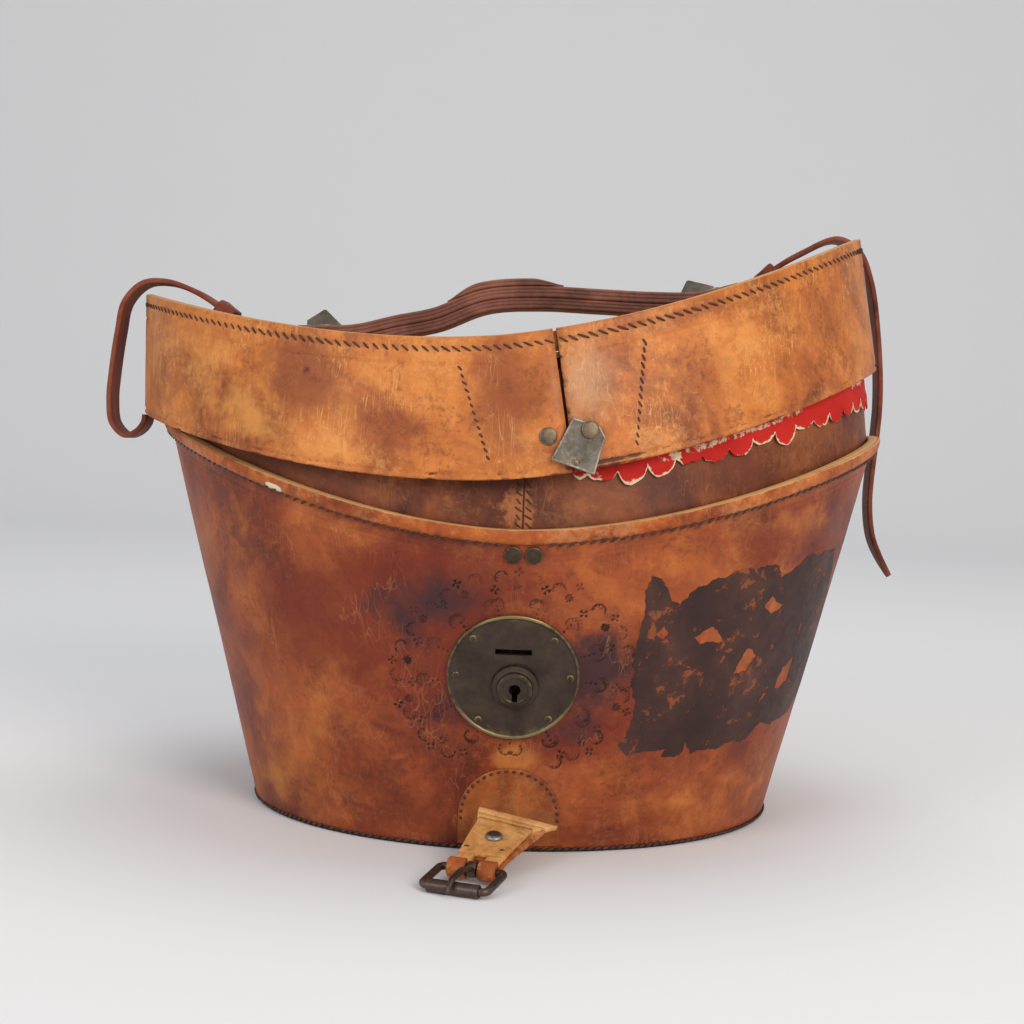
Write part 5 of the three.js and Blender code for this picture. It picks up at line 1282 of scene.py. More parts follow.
def rimRivets():
    s = rimRivetSet
    turns = [frontAngle(x, float(wallAxes(s["z"])[0])) for x in s["xs"]]
    heads = [(wallAt(t, s["z"], -s["sink"]), surfaceNormal(wallAt, t, s["z"]), s["radius"]) for t in turns]
    driveRivets("rim_rivets", heads, rivetHead, rivetDark, "box", "rim_rivet_left", "rim_rivet_right")


rimRivets()
print("lock and rim rivets made")

# the buckle tab at the foot of the front
chapeSet = {"x": 2.0, "radius": 22.9, "top": 39.9, "foot": 3.0, "rings": (0.25, 0.5, 0.75, 0.9, 0.96),
            "centre": (0.0, 19.0), "back": -0.1, "face": 0.48, "seamInset": 1.3, "seamFoot": 15,
            "seam": {"pitch": 3.4, "length": 2.1, "thread": 1.35, "slant": 14, "uneven": 12, "seed": 6}}
tabSet = {"root": (4.153, -120.088, 19.0), "eye": (-11.58, -163.314, 5.8), "yaw": -20.0, "pitch": 7.66,
          "endHalf": 11.0, "thick": 4.6, "eyeRadius": 4.4, "bar": 1.7, "notch": 6.0, "notchFrom": 0.8, "tilt": 12.0,
          "slits": {"pitch": 15.0, "length": 2.9, "thread": 1.1, "slant": 0, "uneven": 4, "seed": 21}}
buckleSet = {"half": 14.6, "length": 21.0, "bar": 1.7, "corner": 2.6, "rollerRadius": 2.9, "rollerInner": 2.0,
             "tongueRing": 3.4, "tongueWidth": 4.0, "wireSides": 14, "rollerSides": 28, "prongSides": 14,
             "ringSides": 24}
buckleFrame = (Matrix.Translation(Vector(tabSet["eye"])) @ Matrix.Rotation(math.radians(tabSet["yaw"]), 4, "Z")
               @ Matrix.Rotation(math.radians(tabSet["pitch"]), 4, "X"))


def chapeOutline(inset, count=90):  # half disc with a straight foot, on the wall's (x, z)
    s = chapeSet
    r, middle = s["radius"] - inset, s["top"] - s["radius"]
    foot = s["foot"] + inset
    side = np.linspace(foot, middle, 16, endpoint=False)
    arc = np.linspace(0, math.pi, count - 2 * len(side) - 16)
    loop = [(r, z) for z in side] + [(r * math.cos(a), middle + r * math.sin(a)) for a in arc]
    loop += [(-r, z) for z in side[::-1]]
    return loop + [(x, foot) for x in np.linspace(-r, r, 18)[1:-1]]


def turnOnWall(loop):  # the turn round the wall of each (x, z)
    return frontTurn + np.arcsin((chapeSet["x"] + loop[:, 0]) / wallAxes(loop[:, 1])[0])


def onWallX(loop, out):
    loop = np.asarray(loop, float)
    return wallAt(turnOnWall(loop), loop[:, 1], out)


def makeChapePatch():
    s = chapeSet
    centre = np.array(s["centre"])
    loop = np.asarray(chapeOutline(0.0))
    shrink = lambda f: centre + (loop - centre) * f
    rows = [onWallX(shrink(f), s["back"]) for f in s["rings"]] + [onWallX(loop, s["back"]), onWallX(loop, 0.16)]
    rows += [onWallX(shrink(0.985), 0.36), onWallX(shrink(0.96), 0.46)]
    rows += [onWallX(shrink(f), s["face"]) for f in (0.9, 0.75, 0.5, 0.25)]
    poles = [onWallX([centre], out)[0] for out in (s["back"], s["face"])]
    place(dishMesh("chape_backing", rows, *poles), patchLeather, "box", "edge_leather", "chape_patch")
    arc = np.asarray([p for p in chapeOutline(s["seamInset"], 160) if p[1] > s["seamFoot"]])
    t = turnOnWall(arc)
    normals = np.stack([np.cos(t) * 130, np.sin(t) * 150, np.full(len(t), -35.0)], -1)
    sewSeam("chape_stitches", [(onWallX(arc, 0.46), unitRows(normals), False)], s["seam"], "box")


patchLook = dict(tabLook, cloudMm=26, fleck=0.08,
                 tones=[(0.3, "#743619"), (0.46, "#87451f"), (0.6, "#975225"), (0.74, "#a6622c")])
patchLeather = saddleLeather("saddle_leather_patch", patchLook)
makeChapePatch()


def tabFrame(share):  # centre, across, up along the tab from its root to the buckle bar
    root, eye = np.array(tabSet["root"]), np.array(tabSet["eye"])
    along = (eye - root) / np.linalg.norm(eye - root)
    tilt = math.radians(tabSet["tilt"] * (1 - smooth(0.0, 0.9, share)))
    yaw = math.radians(tabSet["yaw"]) * float(share)
    across = np.array([math.cos(yaw) * math.cos(tilt), math.sin(yaw) * math.cos(tilt), -math.sin(tilt)])
    up = np.cross(across, along)
    up = up / np.linalg.norm(up)
    up = up if up[2] > 0 else -up
    return root + (eye - root) * share, across, up


# a strip along the tab, or one side of its notch
def tabStrip(halves, low, high, first, last, count, bow=0.0, side=0):
    inner = tabSet["notch"] / 2
    rows = None
    for share in np.linspace(first, last, count):
        centre, across, up = tabFrame(share)
        k = (share - first) / (last - first)
        left, right = (a + (b - a) * k for a, b in halves)
        lift = bow * math.sin(math.pi * k)
        wide, shift = (right + left) / 2, (right - left) / 2
        if side:
            wide, shift = (right - inner) / 2, side * (right + inner) / 2
        ring = [centre + across * (x + shift) + up * (y + lift) for x, y in slabSection(wide, low, high, 0.55)]
        rows = [[p] for p in ring] if rows is None else [r + [p] for r, p in zip(rows, ring)]
    return sweepPart(rows, False)


def loopPart(acrossFrom, acrossTo, outer, inner, startTurn, endTurn):  # leather bent round the buckle bar
    rows = []
    turns = np.radians(np.linspace(startTurn, endTurn, 18))
    for x, r in ((acrossFrom, inner), (acrossFrom + 0.3, outer - 0.1), (acrossFrom + 0.6, outer),
                 (acrossTo - 0.6, outer), (acrossTo - 0.3, outer - 0.1), (acrossTo, inner)):
        rows.append([through(buckleFrame, (x, r * math.cos(a), r * math.sin(a))) for a in turns])
    return sweepPart(rows, False)


def makeTab():  # folded on a slant at its root, where the pull has creased it
    s = tabSet
    half, end, stop = s["thick"] / 2, s["endHalf"], s["notchFrom"]
    even = lambda a, b: ((a, b), (a, b))
    under = [tabStrip(((15.0, end), (17.0, end)), -half, -0.1, 0.04, stop, 16)]
    under += [tabStrip(even(end, end), -half, -0.1, stop - 0.01, 0.93, 4, 0.0, side) for side in (-1, 1)]
    under += [loopPart(a, b, s["eyeRadius"], s["bar"] + 0.35, 62, 298)
              for a, b in ((-end, -s["notch"] / 2), (s["notch"] / 2, end))]
    place(gather("tab_under", under), undersideLeather, "chape", "edge_leather")
    strips = [tabStrip(((15.5, 14.5), (20.5, 17.0)), -half + 0.7, 0.9, 0.02, 0.115, 6, 0.4),
              tabStrip(((14.2, 12.6), (15.5, 12.8)), -0.5, 1.4, 0.13, 0.225, 6, 0.35),
              tabStrip(even(end + 1.2, end - 0.6), 0.0, half - 0.2, 0.215, stop, 14, 0.25)]
    strips += [tabStrip(even(end - 0.7, end - 0.9), 0.0, half - 0.4, stop - 0.03, 0.93, 4, 0.0, side)
               for side in (-1, 1)]
    place(gather("tab_strip", strips), tabLeather, "chape", "edge_leather", "chape_tab")
    middle, up = tabFrame(0.5)[::2]
    driveRivets("tab_rivet", [(middle + up * (half + 0.02), up, 3.9)], pinHead, plateSteel, "chape", "chape_rivet")
    middle, across, up = tabFrame(0.7)
    slits = np.array([middle + across * x + up * (half - 0.2) for x in (-8.4, -2.0, 2.0, 7.4)])
    sewSeam("tab_slits", [(slits, np.repeat(up[None, :], 4, 0), False)], s["slits"], "chape")


makeTab()


def tubeRows(path, radius, sides, closed, matrix):  # a round bar along a path in the XY plane
    path = np.asarray(path, float)
    along = unitRows((np.roll(path, -1, 0) - np.roll(path, 1, 0)) if closed else np.gradient(path, axis=0))
    side = np.stack([along[:, 1], -along[:, 0], np.zeros(len(path))], -1)
    rows = []
    for k in range(sides):
        a = tau * k / sides
        rows.append(through(matrix, path + radius * (math.cos(a) * side + np.array([0, 0, math.sin(a)]))))
    return rows


def makeBuckle():
    s = buckleSet
    h, length, c = s["half"], s["length"], s["corner"]
    path = []
    for cx, cy, start in ((h - c, -c, 0), (-h + c, -c, 90), (-h + c, -length + c, 180), (h - c, -length + c, 270)):
        turns = [math.radians(start + d) for d in range(0, 91, 18)]
        path += [(cx + c * math.cos(a), cy + c * math.sin(a), 0) for a in turns]
    wire = sweepPart(tubeRows(path, s["bar"], s["wireSides"], True, buckleFrame), True)
    place(gather("buckle_wire", [wire]), buckleSteel, "buckle", "steel", "buckle_frame")
    rollHalf, outer, inner = h - c - 0.5, s["rollerRadius"], s["rollerInner"]
    turns = fullTurn(s["rollerSides"])
    tube = []
    for x, r in ((-rollHalf, inner), (-rollHalf, outer - 0.25), (-rollHalf + 0.25, outer),
                 (rollHalf - 0.25, outer), (rollHalf, outer - 0.25), (rollHalf, inner)):
        # rolled from sheet, so its two edges leave a shallow groove along it
        bent = r - 0.3 * np.exp(-((turns - 1.9) / 0.12) ** 2) * (r > 2.2)
        ring = np.stack([np.full(len(turns), x), -length + bent * np.cos(turns), bent * np.sin(turns)], -1)
        tube.append(through(buckleFrame, ring))
    sleeve = gather("buckle_sleeve", [sweepPart(tube, True)], None, 40)
    place(sleeve, buckleSteel, "roller", "steel", "buckle_roller")
    w = s["tongueWidth"] / 2
    # (along, up, half width, half thickness) from the bar to the tip
    stations = [(-1.9, 0.9, w, 1.1), (-5.0, 2.4, w, 1.1), (-10.5, 4.2, w * 0.95, 1.1), (-17.0, 4.45, w * 0.85, 1.1),
                (-22.0, 4.4, w * 0.72, 1.05), (-25.3, 3.0, w * 0.6, 0.85), (-27.6, 0.9, w * 0.42, 0.6)]
    prong = [[through(buckleFrame, (wide * math.cos(a), y, z + thick * math.sin(a)))
              for y, z, wide, thick in stations]
             for a in fullTurn(s["prongSides"])]
    turns = fullTurn(s["ringSides"])
    ring = [through(buckleFrame, np.stack([np.full(len(turns), x), r * np.cos(turns), r * np.sin(turns)], -1))
            for x, r in ((-w, 2.0), (-w, 3.1), (-w + 0.3, s["tongueRing"]), (w - 0.3, s["tongueRing"]), (w, 3.1),
                         (w, 2.0))]
    tongue = gather("buckle_prong", [sweepPart(prong, False), sweepPart(ring, True)], None, 45)
    place(tongue, buckleSteel, "tongue", "steel", "buckle_tongue")


makeBuckle()
print("tab and buckle made")

# the lid
lidSet = {
    "rows": 84, "columns": 520, "splitX": 26.0, "splitSlant": 4.3, "splitTop": 0.95, "splitFoot": 0.5,
    "crease": 12.3, "seam": 5.3, "foldLine": 2.6, "kink": 0.55,
    "flush": [(-28.5, 40, 6, 15, 1.6), (27.5, 33, 5.5, 16, 0.6), (56, 32, 8, 22, 0.5), (-16, 24, 8, 13, 0.65),
              (0, 34, 5.5, 34, 1.05), (34, 18, 10, 12, 0.35), (-46, 52, 12, 9, 0.4), (100, 30, 30, 20, 0.4),
              (-110, 34, 30, 18, 0.4), (175, 30, 40, 18, 0.4), (9, 8, 6, 8, 0.4)],
    "stain": [(27.5, 33, 3.4, 15, 0.42), (23, 14, 1.6, 5, 0.5), (15, 2, 6, 4, 0.4), (-28, 40, 5, 12, 0.5),
              (-14, 22, 5, 7, 0.4), (42, 30, 4, 8, 0.4), (140, 20, 16, 14, 0.5), (-150, 40, 14, 12, 0.5)],
    "pale": [(-50, 34, 9, 24, 0.55), (-37.5, 26, 6, 16, 0.5), (46, 36, 10, 18, 0.45), (66, 34, 12, 26, 0.2),
             (-9, 44, 4, 14, 0.4), (-38, 14, 12, 10, 0.5), (20, 24, 4, 14, 0.45), (-20, 8, 12, 6, 0.5)],
    # the sheen blob is a painted highlight: a pale grey patch right of the split that stands in for the lamp's
    # reflection
    "sheen": [(11.5, 38, 5.5, 24, 0.75)],
}


def splitEdges(s):  # the turn of each side of the front split at a share of the band's height
    middle = boxForm["front"] + lidForm["seat"] + lidForm["height"] / 2
    z = boxForm["front"] + lidForm["seat"] + 1.2 + lidForm["height"] * s
    x = lidSet["splitX"] - (z - middle) * math.tan(math.radians(lidSet["splitSlant"]))
    half = lidSet["splitFoot"] + (lidSet["splitTop"] - lidSet["splitFoot"]) * s
    reach = lidForm["length"] - lidForm["flare"] * s
    return frontTurn + np.arcsin((x - half) / reach), frontTurn + np.arcsin((x + half) / reach)


def bandColumns():  # shares round the band from one side of the split to the other, closer together at the front
    u = np.linspace(0, 1, lidSet["columns"])
    return u + 0.11 * np.sin(tau * u) * 0.9


def makeBand():
    s = lidSet
    u = bandColumns()
    wall, high = lidForm["wall"], lidForm["height"]
    rowsOut = np.linspace(0.7 / high, 1 - 0.5 / high, s["rows"])
    section = [(k, 0.0) for k in rowsOut]
    section += [(1 - 0.15 / high, -0.25), (1.0, -0.7), (1 - 0.05 / high, -1.45), (1 - 0.5 / high, -1.7),
                (1 - 0.05 / high, -1.95), (1.0, -2.6), (1 - 0.3 / high, -wall)]
    section += [(k, -wall) for k in (0.75, 0.5, 0.25)]
    section += [(0.5 / high, -wall), (0.0, -wall + 0.6), (0.0, -0.9), (0.25 / high, -0.3)]
    rows, marks = [], {k: [] for k in ("flush", "stain", "pale", "sheen", "edge")}
    for share, out in section:
        left, right = splitEdges(share)
        t = right + (left + tau - right) * u
        up = share * high
        below = high - up
        base = lidAt(t, share)
        push = 0.0
        if out == 0.0:
            push = 0.55 * (dents(base, 60, 21.0) - 0.25) + 0.12 * dents(base, 12, 2.0)
            push = (push - 0.35 * smooth(0.8, 0.25, abs(below - s["crease"]))
                    - 0.3 * smooth(1.6, 0.5, abs(below - s["seam"]))
                    - 0.5 * smooth(1.2, 0.3, abs(up - s["foldLine"])))
        near = np.exp(-((u * 1000) / 13) ** 2)
        far = np.exp(-(((1 - u) * 1000) / 13) ** 2)
        push = push - s["kink"] * near * (0.4 + 0.6 * share) + 0.3 * far
        rows.append(seatLid(lidAt(t, share, out + push)))
        for mark in ("flush", "stain", "pale", "sheen"):
            marks[mark].append(blobs(t, np.full(len(t), up), s[mark]) * (1.0 if out == 0.0 else 0.3))
        # the stain mark also darkens the lower edge, and paints shade in the fold line, beside the split and in the
        # crease
        marks["stain"][-1] += (0.5 * float(smooth(1.6, 0.3, up))
                               + 0.42 * float(smooth(1.1, 0.3, abs(up - s["foldLine"])))
                               + 0.5 * np.exp(-((u * 1000) / 2.2) ** 2)
                               + 0.25 * float(smooth(0.9, 0.2, abs(below - s["crease"]))))
        worn = 0.75 if out < -0.2 and share > 0.98 else 0.75 * float(smooth(0.9, 0.2, below))
        marks["edge"].append(np.clip(worn + 0.3 * dents(base, 16, 4.0) * (worn > 0), 0, 1))
    place(sweepMesh("lid_band_leather", rows, False, marks), lidLeather, "lid", "tan_leather", "lid_band")


makeBand()
patchSet = {"from": -22.0, "to": 66.0, "low": 5.0, "topDrop": 17.0, "thick": 2.0, "face": -4.2, "eased": 0.3,
            "columns": 40}


def makeFrontPatch():  # the leather behind the split
    s = patchSet
    t = np.linspace(*(frontAngle(s[k], lidForm["length"]) for k in ("from", "to")), s["columns"])
    back = -lidForm["wall"] - gap - s["thick"]
    section = roundSection(s["low"], lidForm["height"] - s["topDrop"], s["face"], back, s["eased"], 6, 2)
    rows = [seatLid(lidAt(t, h / lidForm["height"], out)) for h, out in section]
    place(sweepMesh("lid_patch_leather", rows, False), strapLeather, "lid", "tan_leather", "lid_front_patch")


makeFrontPatch()
topSet = {"columns": 180, "rings": (0.12, 0.25, 0.38, 0.5, 0.62, 0.74, 0.86, 0.95, 1.0), "sag": 0.5,
          "lipEdge": (0, 0.3, 0.55, 0.6, 0.1, 0.6, 0.5, 0.2, 0)}


def makeLidTop():
    s = topSet
    t = fullTurn(s["columns"])
    high = lidForm["height"]
    outer = -lidForm["wall"] - gap
    low = 1 - (lidForm["recess"] + lidForm["panel"]) / high

    def edge(drop):
        ring = lidAt(t, low, outer)
        ring[:, 2] = panelAt(t, 1.0, drop)[:, 2]
        return ring
    upper = []
    for k in s["rings"]:
        ring = panelAt(t, k)
        ring[:, 2] += s["sag"] * (dents(ring, 55, 31.0) - 0.4) * float(smooth(1.0, 0.8, k))
        upper.append(ring)
    under = [panelAt(t, k, lidForm["panel"]) for k in s["rings"][::-1]]
    rows = [seatLid(r) for r in [*upper, edge(0.1), edge(lidForm["panel"]), *under]]
    poles = [seatLid((0, 0, float(panelHeight(0)) - d)) for d in (0.2, lidForm["panel"])]
    place(dishMesh("lid_top_leather", rows, *poles), topLeather, "lid", "tan_leather", "lid_top")
    foot = 1 - (lidForm["recess"] - gap) / high
    top = 1 - 1.0 / high

    def lip(out, share):
        ring = lidAt(t, share, out)
        if share == foot:
            ring[:, 2] = panelAt(t, 1.0, -gap)[:, 2]
        return seatLid(ring)
    inner = outer - lidForm["panel"]
    section = [(outer, foot), (outer, top - 0.3 / high), (outer - 0.3, top), (outer - 1.1, top),
               (outer - 1.4, top - 0.4 / high), (outer - 1.7, top), (inner + 0.4, top), (inner, top - 0.4 / high),
               (inner, foot)]
    marks = {"edge": [np.full(len(t), w) for w in s["lipEdge"]]}
    ringed = sweepMesh("lid_lip_leather", [lip(*p) for p in section], True, marks)
    place(ringed, topLeather, "lid", "edge_leather", "lid_lip")


topLook = dict(lidLook, tones=[(0.3, "#6d3d24"), (0.44, "#86502b"), (0.56, "#985f33"), (0.72, "#a86f3c")],
               marks=[("edge", "#9c6a3b", 0.5, 0.35, 0.75)])
topLeather = saddleLeather("saddle_leather_top", topLook)
makeLidTop()
lidLiningSet = {"columns": 120, "thick": 1.2, "skirt": 2.5, "rings": (0.25, 0.5, 0.75), "wrinkle": 0.35,
                "flat": (0.345, 0.285)}


def makeLidLining():
    s = lidLiningSet
    t = fullTurn(s["columns"])
    skin = lidForm["panel"] + 2 * gap
    under, foot = skin + s["thick"], skin + s["skirt"]
    edge = 1 - (patchSet["thick"] + gap) / panelWidth
    inner = edge - s["thick"] / panelWidth
    rows = [panelAt(t, k, skin) for k in s["rings"]]
    rows += [panelAt(t, edge, skin), panelAt(t, edge, foot), panelAt(t, inner, foot), panelAt(t, inner, under)]
    for k in s["rings"][::-1]:
        ring = panelAt(t, k, under)
        ring[:, 2] += s["wrinkle"] * dents(ring, 40, 5.0)
        rows.append(ring)
    poles = [seatLid((0, 0, float(panelHeight(0)) - d)) for d in (skin, under)]
    cloth = dishMesh("red_lid_lining", [seatLid(r) for r in rows], *poles)
    place(cloth, redCloth, "lid", "red_cloth", "lid_lining")


makeLidLining()


def bandNormal(t, share):
    return turnLid(surfaceNormal(lidAt, t, share, 0.004))


def bandLine(angles, shares, out):
    points = seatLid([lidAt(a, s, out) for a, s in zip(angles, shares)])
    return points, np.array([bandNormal(a, s) for a, s in zip(angles, shares)])


# patch lines: (x, share of the height) at the two ends of each
lidSeamSet = {"top": {"pitch": 4.4, "length": 5.0, "thread": 0.95, "slant": -34, "uneven": 8, "seed": 8},
              "patch": {"pitch": 3.3, "length": 3.2, "thread": 1.0, "slant": 28, "uneven": 10, "seed": 9},
              "patchLines": (((-17.3, 0.777), (-7.5, 0.155)), ((61.8, 0.784), (55.9, 0.12))),
              "fromSplit": 0.012, "topPoints": 420, "patchPoints": 24}


def makeLidSeams():
    s = lidSeamSet
    share = 1 - lidSet["seam"] / lidForm["height"]
    left, right = (float(v) for v in splitEdges(share))
    around = np.linspace(right + s["fromSplit"], left + tau - s["fromSplit"], s["topPoints"])
    sewSeam("lid_top_stitches", [(*bandLine(around, np.full(len(around), share), -0.25), False)], s["top"], "lid")
    lines = []
    for start, end in s["patchLines"]:
        xs, shares = (np.linspace(a, b, s["patchPoints"]) for a, b in zip(start, end))
        angles = [frontAngle(x, lidForm["length"] - lidForm["flare"] * k) for x, k in zip(xs, shares)]
        lines.append((*bandLine(angles, shares, -0.15), False))
    sewSeam("lid_patch_stitches", lines, s["patch"], "lid")


makeLidSeams()
print("lid made")

# loose plate and rivets on the lid's front
haspSet = {"xs": (18.5, 36.1), "up": 16.5, "radius": 3.9, "lift": 2.1, "thick": 1.2, "standoff": 0.9,
           "corners": [(-6.9, 5.6), (-17.6, -11.6), (0.4, -19.2), (6.4, -3.4), (4.2, 1.6)],
           "stub": (-7.2, -13.6), "stubRadius": 1.7, "sideSteps": 12,
           "rings": (0.15, 0.3, 0.45, 0.6, 0.75, 0.88, 0.96), "wornUpper": (0.6, 0.15, 0.1, 0.2, 0.15, 0.1, 0.05),
           "wornUnder": 0.1, "wornEdge": 0.75}


def makeHasp():
    s = haspSet
    share = s["up"] / lidForm["height"]
    turns = [frontAngle(x, lidForm["length"]) for x in s["xs"]]
    (near, nearOut), (seat, out) = ((seatLid(lidAt(t, share, 0.0)), bandNormal(t, share)) for t in turns)
    driveRivets("lid_rivet_near_split", [(near - nearOut * 0.1, nearOut, s["radius"])], rivetHead, rivetBrass,
                "lid", "lid_rivet_left")
    driveRivets("lid_rivet_over_plate", [(seat + out * (s["lift"] + 0.1), out, s["radius"])], rivetHead, rivetBrass,
                "lid", "lid_rivet_right")
    stand = frameOn(seat, out, turnLid((0.0, 0.0, 1.0)))
    corners = np.array(s["corners"], float)
    centre = corners.mean(0)
    loop = np.array([a + (b - a) * f for a, b in zip(corners, np.roll(corners, -1, 0))
                     for f in np.linspace(0, 1, s["sideSteps"], endpoint=False)])

    def bend(points, z):  # hammered out of true: its lower left corner stands off and a dent crosses the middle
        x, y = points[:, 0], points[:, 1]
        lift = (1.5 * smooth(9, 20, -y + 0.3 * x) + 0.9 * smooth(6, 17, -x - 0.2 * y)
                - 0.35 * np.exp(-((x + 6) / 3.5) ** 2 - ((y + 9) / 4) ** 2))
        return np.stack([x, y, s["standoff"] + np.maximum(lift, -0.2) + z], -1)
    shrink = lambda f: centre + (loop - centre) * f
    rows = [bend(shrink(f), 0.0) for f in s["rings"]]
    rows += [bend(shrink(1.0), 0.15), bend(shrink(1.0), s["thick"] - 0.15)]
    rows += [bend(shrink(f), s["thick"]) for f in s["rings"][::-1]]
    weights = [s["wornUnder"]] * len(s["rings"]) + [s["wornEdge"]] * 2 + [*s["wornUpper"]]
    worn = [np.full(len(loop), w) for w in weights]
    poles = [through(stand, bend(centre[None, :], z))[0] for z in (0.0, s["thick"])]
    plate = dishMesh("loose_plate", [through(stand, r) for r in rows], *poles, {"worn": worn})
    place(plate, plateSteel, "hasp", "steel", "hasp_plate")
    stub = bend(np.array([s["stub"]], float), s["thick"])[0] - np.array([0, 0, 0.1])
    driveRivets("loose_plate_stub", [(through(stand, stub), out, s["stubRadius"])], pinHead, rivetBrass, "hasp")


makeHasp()

# handle, its plates and the straps over the lid's ends
handleSet = {"y": -4.0, "half": 11.0, "left": -104.0, "right": 118.0, "ply": 5.5, "grip": 3.5,
             "gripFrom": 0.36, "gripTo": 0.6, "columns": 260, "rivets": (0.055, 0.945), "rivetRadius": 3.9,
             "arch": ((0.13, 8.3), (0.23, 15.6), (0.32, 20.9), (0.43, 29.7), (0.545, 28.8), (0.68, 21.6),
                      (0.8, 13.2), (0.91, 5.5)),
             "plates": (-93.0, 105.0), "plateSide": 30.0, "plateThick": 1.4, "plateBend": 80.0, "plateRise": 24.0,
             "plateLean": -5.0, "plateWorn": (0.5, 0.1, 0.1, 0.5, 0.6, 0.2, 0.2, 0.6)}


def panelSlope(x):
    return float(panelHeight(x + 1) - panelHeight(x - 1)) / 2


def flatSeat(x, half):
    return max(float(panelHeight(x + d)) - panelSlope(x) * d for d in (-half, half)) + 2 * gap


def plateTop(centre, x):
    slope = panelSlope(centre)
    seat = flatSeat(centre, handleSet["plateSide"] * math.sqrt(0.5))
    return seat + slope * (x - centre) + handleSet["plateThick"] / math.cos(math.atan(slope))


def between(first, last, count):  # the columns of a strip from one share of its length to another
    return slice(int(round(first * (count - 1))), int(round(last * (count - 1))) + 1)


# a strip along a line in the XZ plane; section is (across, up), narrow and settle scale its width and thickness
def plyRows(line, section, first, last, narrow=None, settle=None):
    count = len(line)
    along = unitRows(np.gradient(line, axis=0))
    up = np.stack([-along[:, 2], np.zeros(count), along[:, 0]], -1)
    keep = between(first, last, count)
    width, thin = (np.ones(count) if f is None else f(np.linspace(0, 1, count)) for f in (narrow, settle))
    foot = min(lift for across, lift in section)
    rows = [line + up * (foot + (lift - foot) * thin)[:, None] + np.outer(width * across, (0, 1, 0))
            for across, lift in section]
    return [r[keep] for r in rows], up


def layeredSection(half, low, high, grooves):  # a ply whose edges show the leathers it is built from
    section = slabSection(half, low, high, 0.9, 3, 6)
    sides = []
    for at in grooves:
        sides += [(-0.0, at - 0.45), (-0.55, at), (-0.0, at + 0.45)]
    left = [(-half - d, z) for d, z in reversed(sides)]
    right = [(half + d, z) for d, z in sides]
    top = [p for p in section if p[1] > (low + high) / 2]
    bottom = [p for p in section if p[1] <= (low + high) / 2]
    return top + left + bottom + right


def makeHandle():
    s = handleSet
    count = s["columns"]
    points = [(s["left"], s["y"], plateTop(s["plates"][0], s["left"]) + gap)]
    for k, lift in s["arch"]:
        x = s["left"] + (s["right"] - s["left"]) * k
        points.append((x, s["y"], float(panelHeight(x)) + lift))
    points.append((s["right"], s["y"], plateTop(s["plates"][1], s["right"]) + gap))
    line = smoothLine(points, count)[0]
    wobble = np.stack([np.zeros(count), 0.5 * dents(line, 40, 17.0), np.zeros(count)], -1)
    start, stop, gripFoot = s["gripFrom"], s["gripTo"], 2 * (s["ply"] + gap)
    taper = lambda k: 1 - 0.12 * smooth(0.06, 0.0, k) - 0.12 * smooth(0.94, 1.0, k)
    gripTaper = lambda k: 1 - 0.3 * smooth(start + 0.03, start, k) - 0.3 * smooth(stop - 0.03, stop, k)
    gripEase = lambda k: 0.25 + 0.75 * smooth(start, start + 0.07, k) * smooth(stop, stop - 0.07, k)
    # node, foot and top of the ply, where it runs, the seams that show in its edges, its width and its thickness
    plies = (("handle_lower", 0.0, s["ply"], 0.0, 1.0, (1.9, 3.7), taper, None),
             ("handle_upper", s["ply"] + gap, 2 * s["ply"] + gap, 0.0, 1.0, (7.7, 9.4), taper, None),
             ("handle_grip", gripFoot, gripFoot + s["grip"], start, stop, (13.3,), gripTaper, gripEase))
    for node, low, high, first, last, grooves, narrow, settle in plies:
        section = layeredSection(s["half"], low - (0.25 if low else 0), high, grooves)
        rows = plyRows(line, section, first, last, narrow, settle)[0]
        rows = [seatLid(r + wobble[between(first, last, count)]) for r in rows]
        rubbed = lambda a, lift: abs(lift - high) < 1.2 or abs(abs(a) - s["half"]) > 0.3 and lift > high - 1.2
        worn = np.array([0.5 if rubbed(a, lift) else 0.12 for a, lift in section])
        edge = np.repeat(worn[:, None], len(rows[0]), 1) + 0.35 * dents(np.array(rows), 18, 6.0)
        place(sweepMesh(node + "_ply", rows, False, {"edge": edge}), handleLeather, "lid", "dark_leather", node)
    heads = []
    rows, up = plyRows(line, [(0.0, 2 * s["ply"] + gap)], 0, 1)
    for share in s["rivets"]:
        k = int(round(share * (count - 1)))
        heads.append((seatLid(rows[0][k]), turnLid(up[k]), s["rivetRadius"]))
    driveRivets("handle_rivets", heads, rivetHead, rivetBrass, "lid", "handle_rivet_left", "handle_rivet_right")


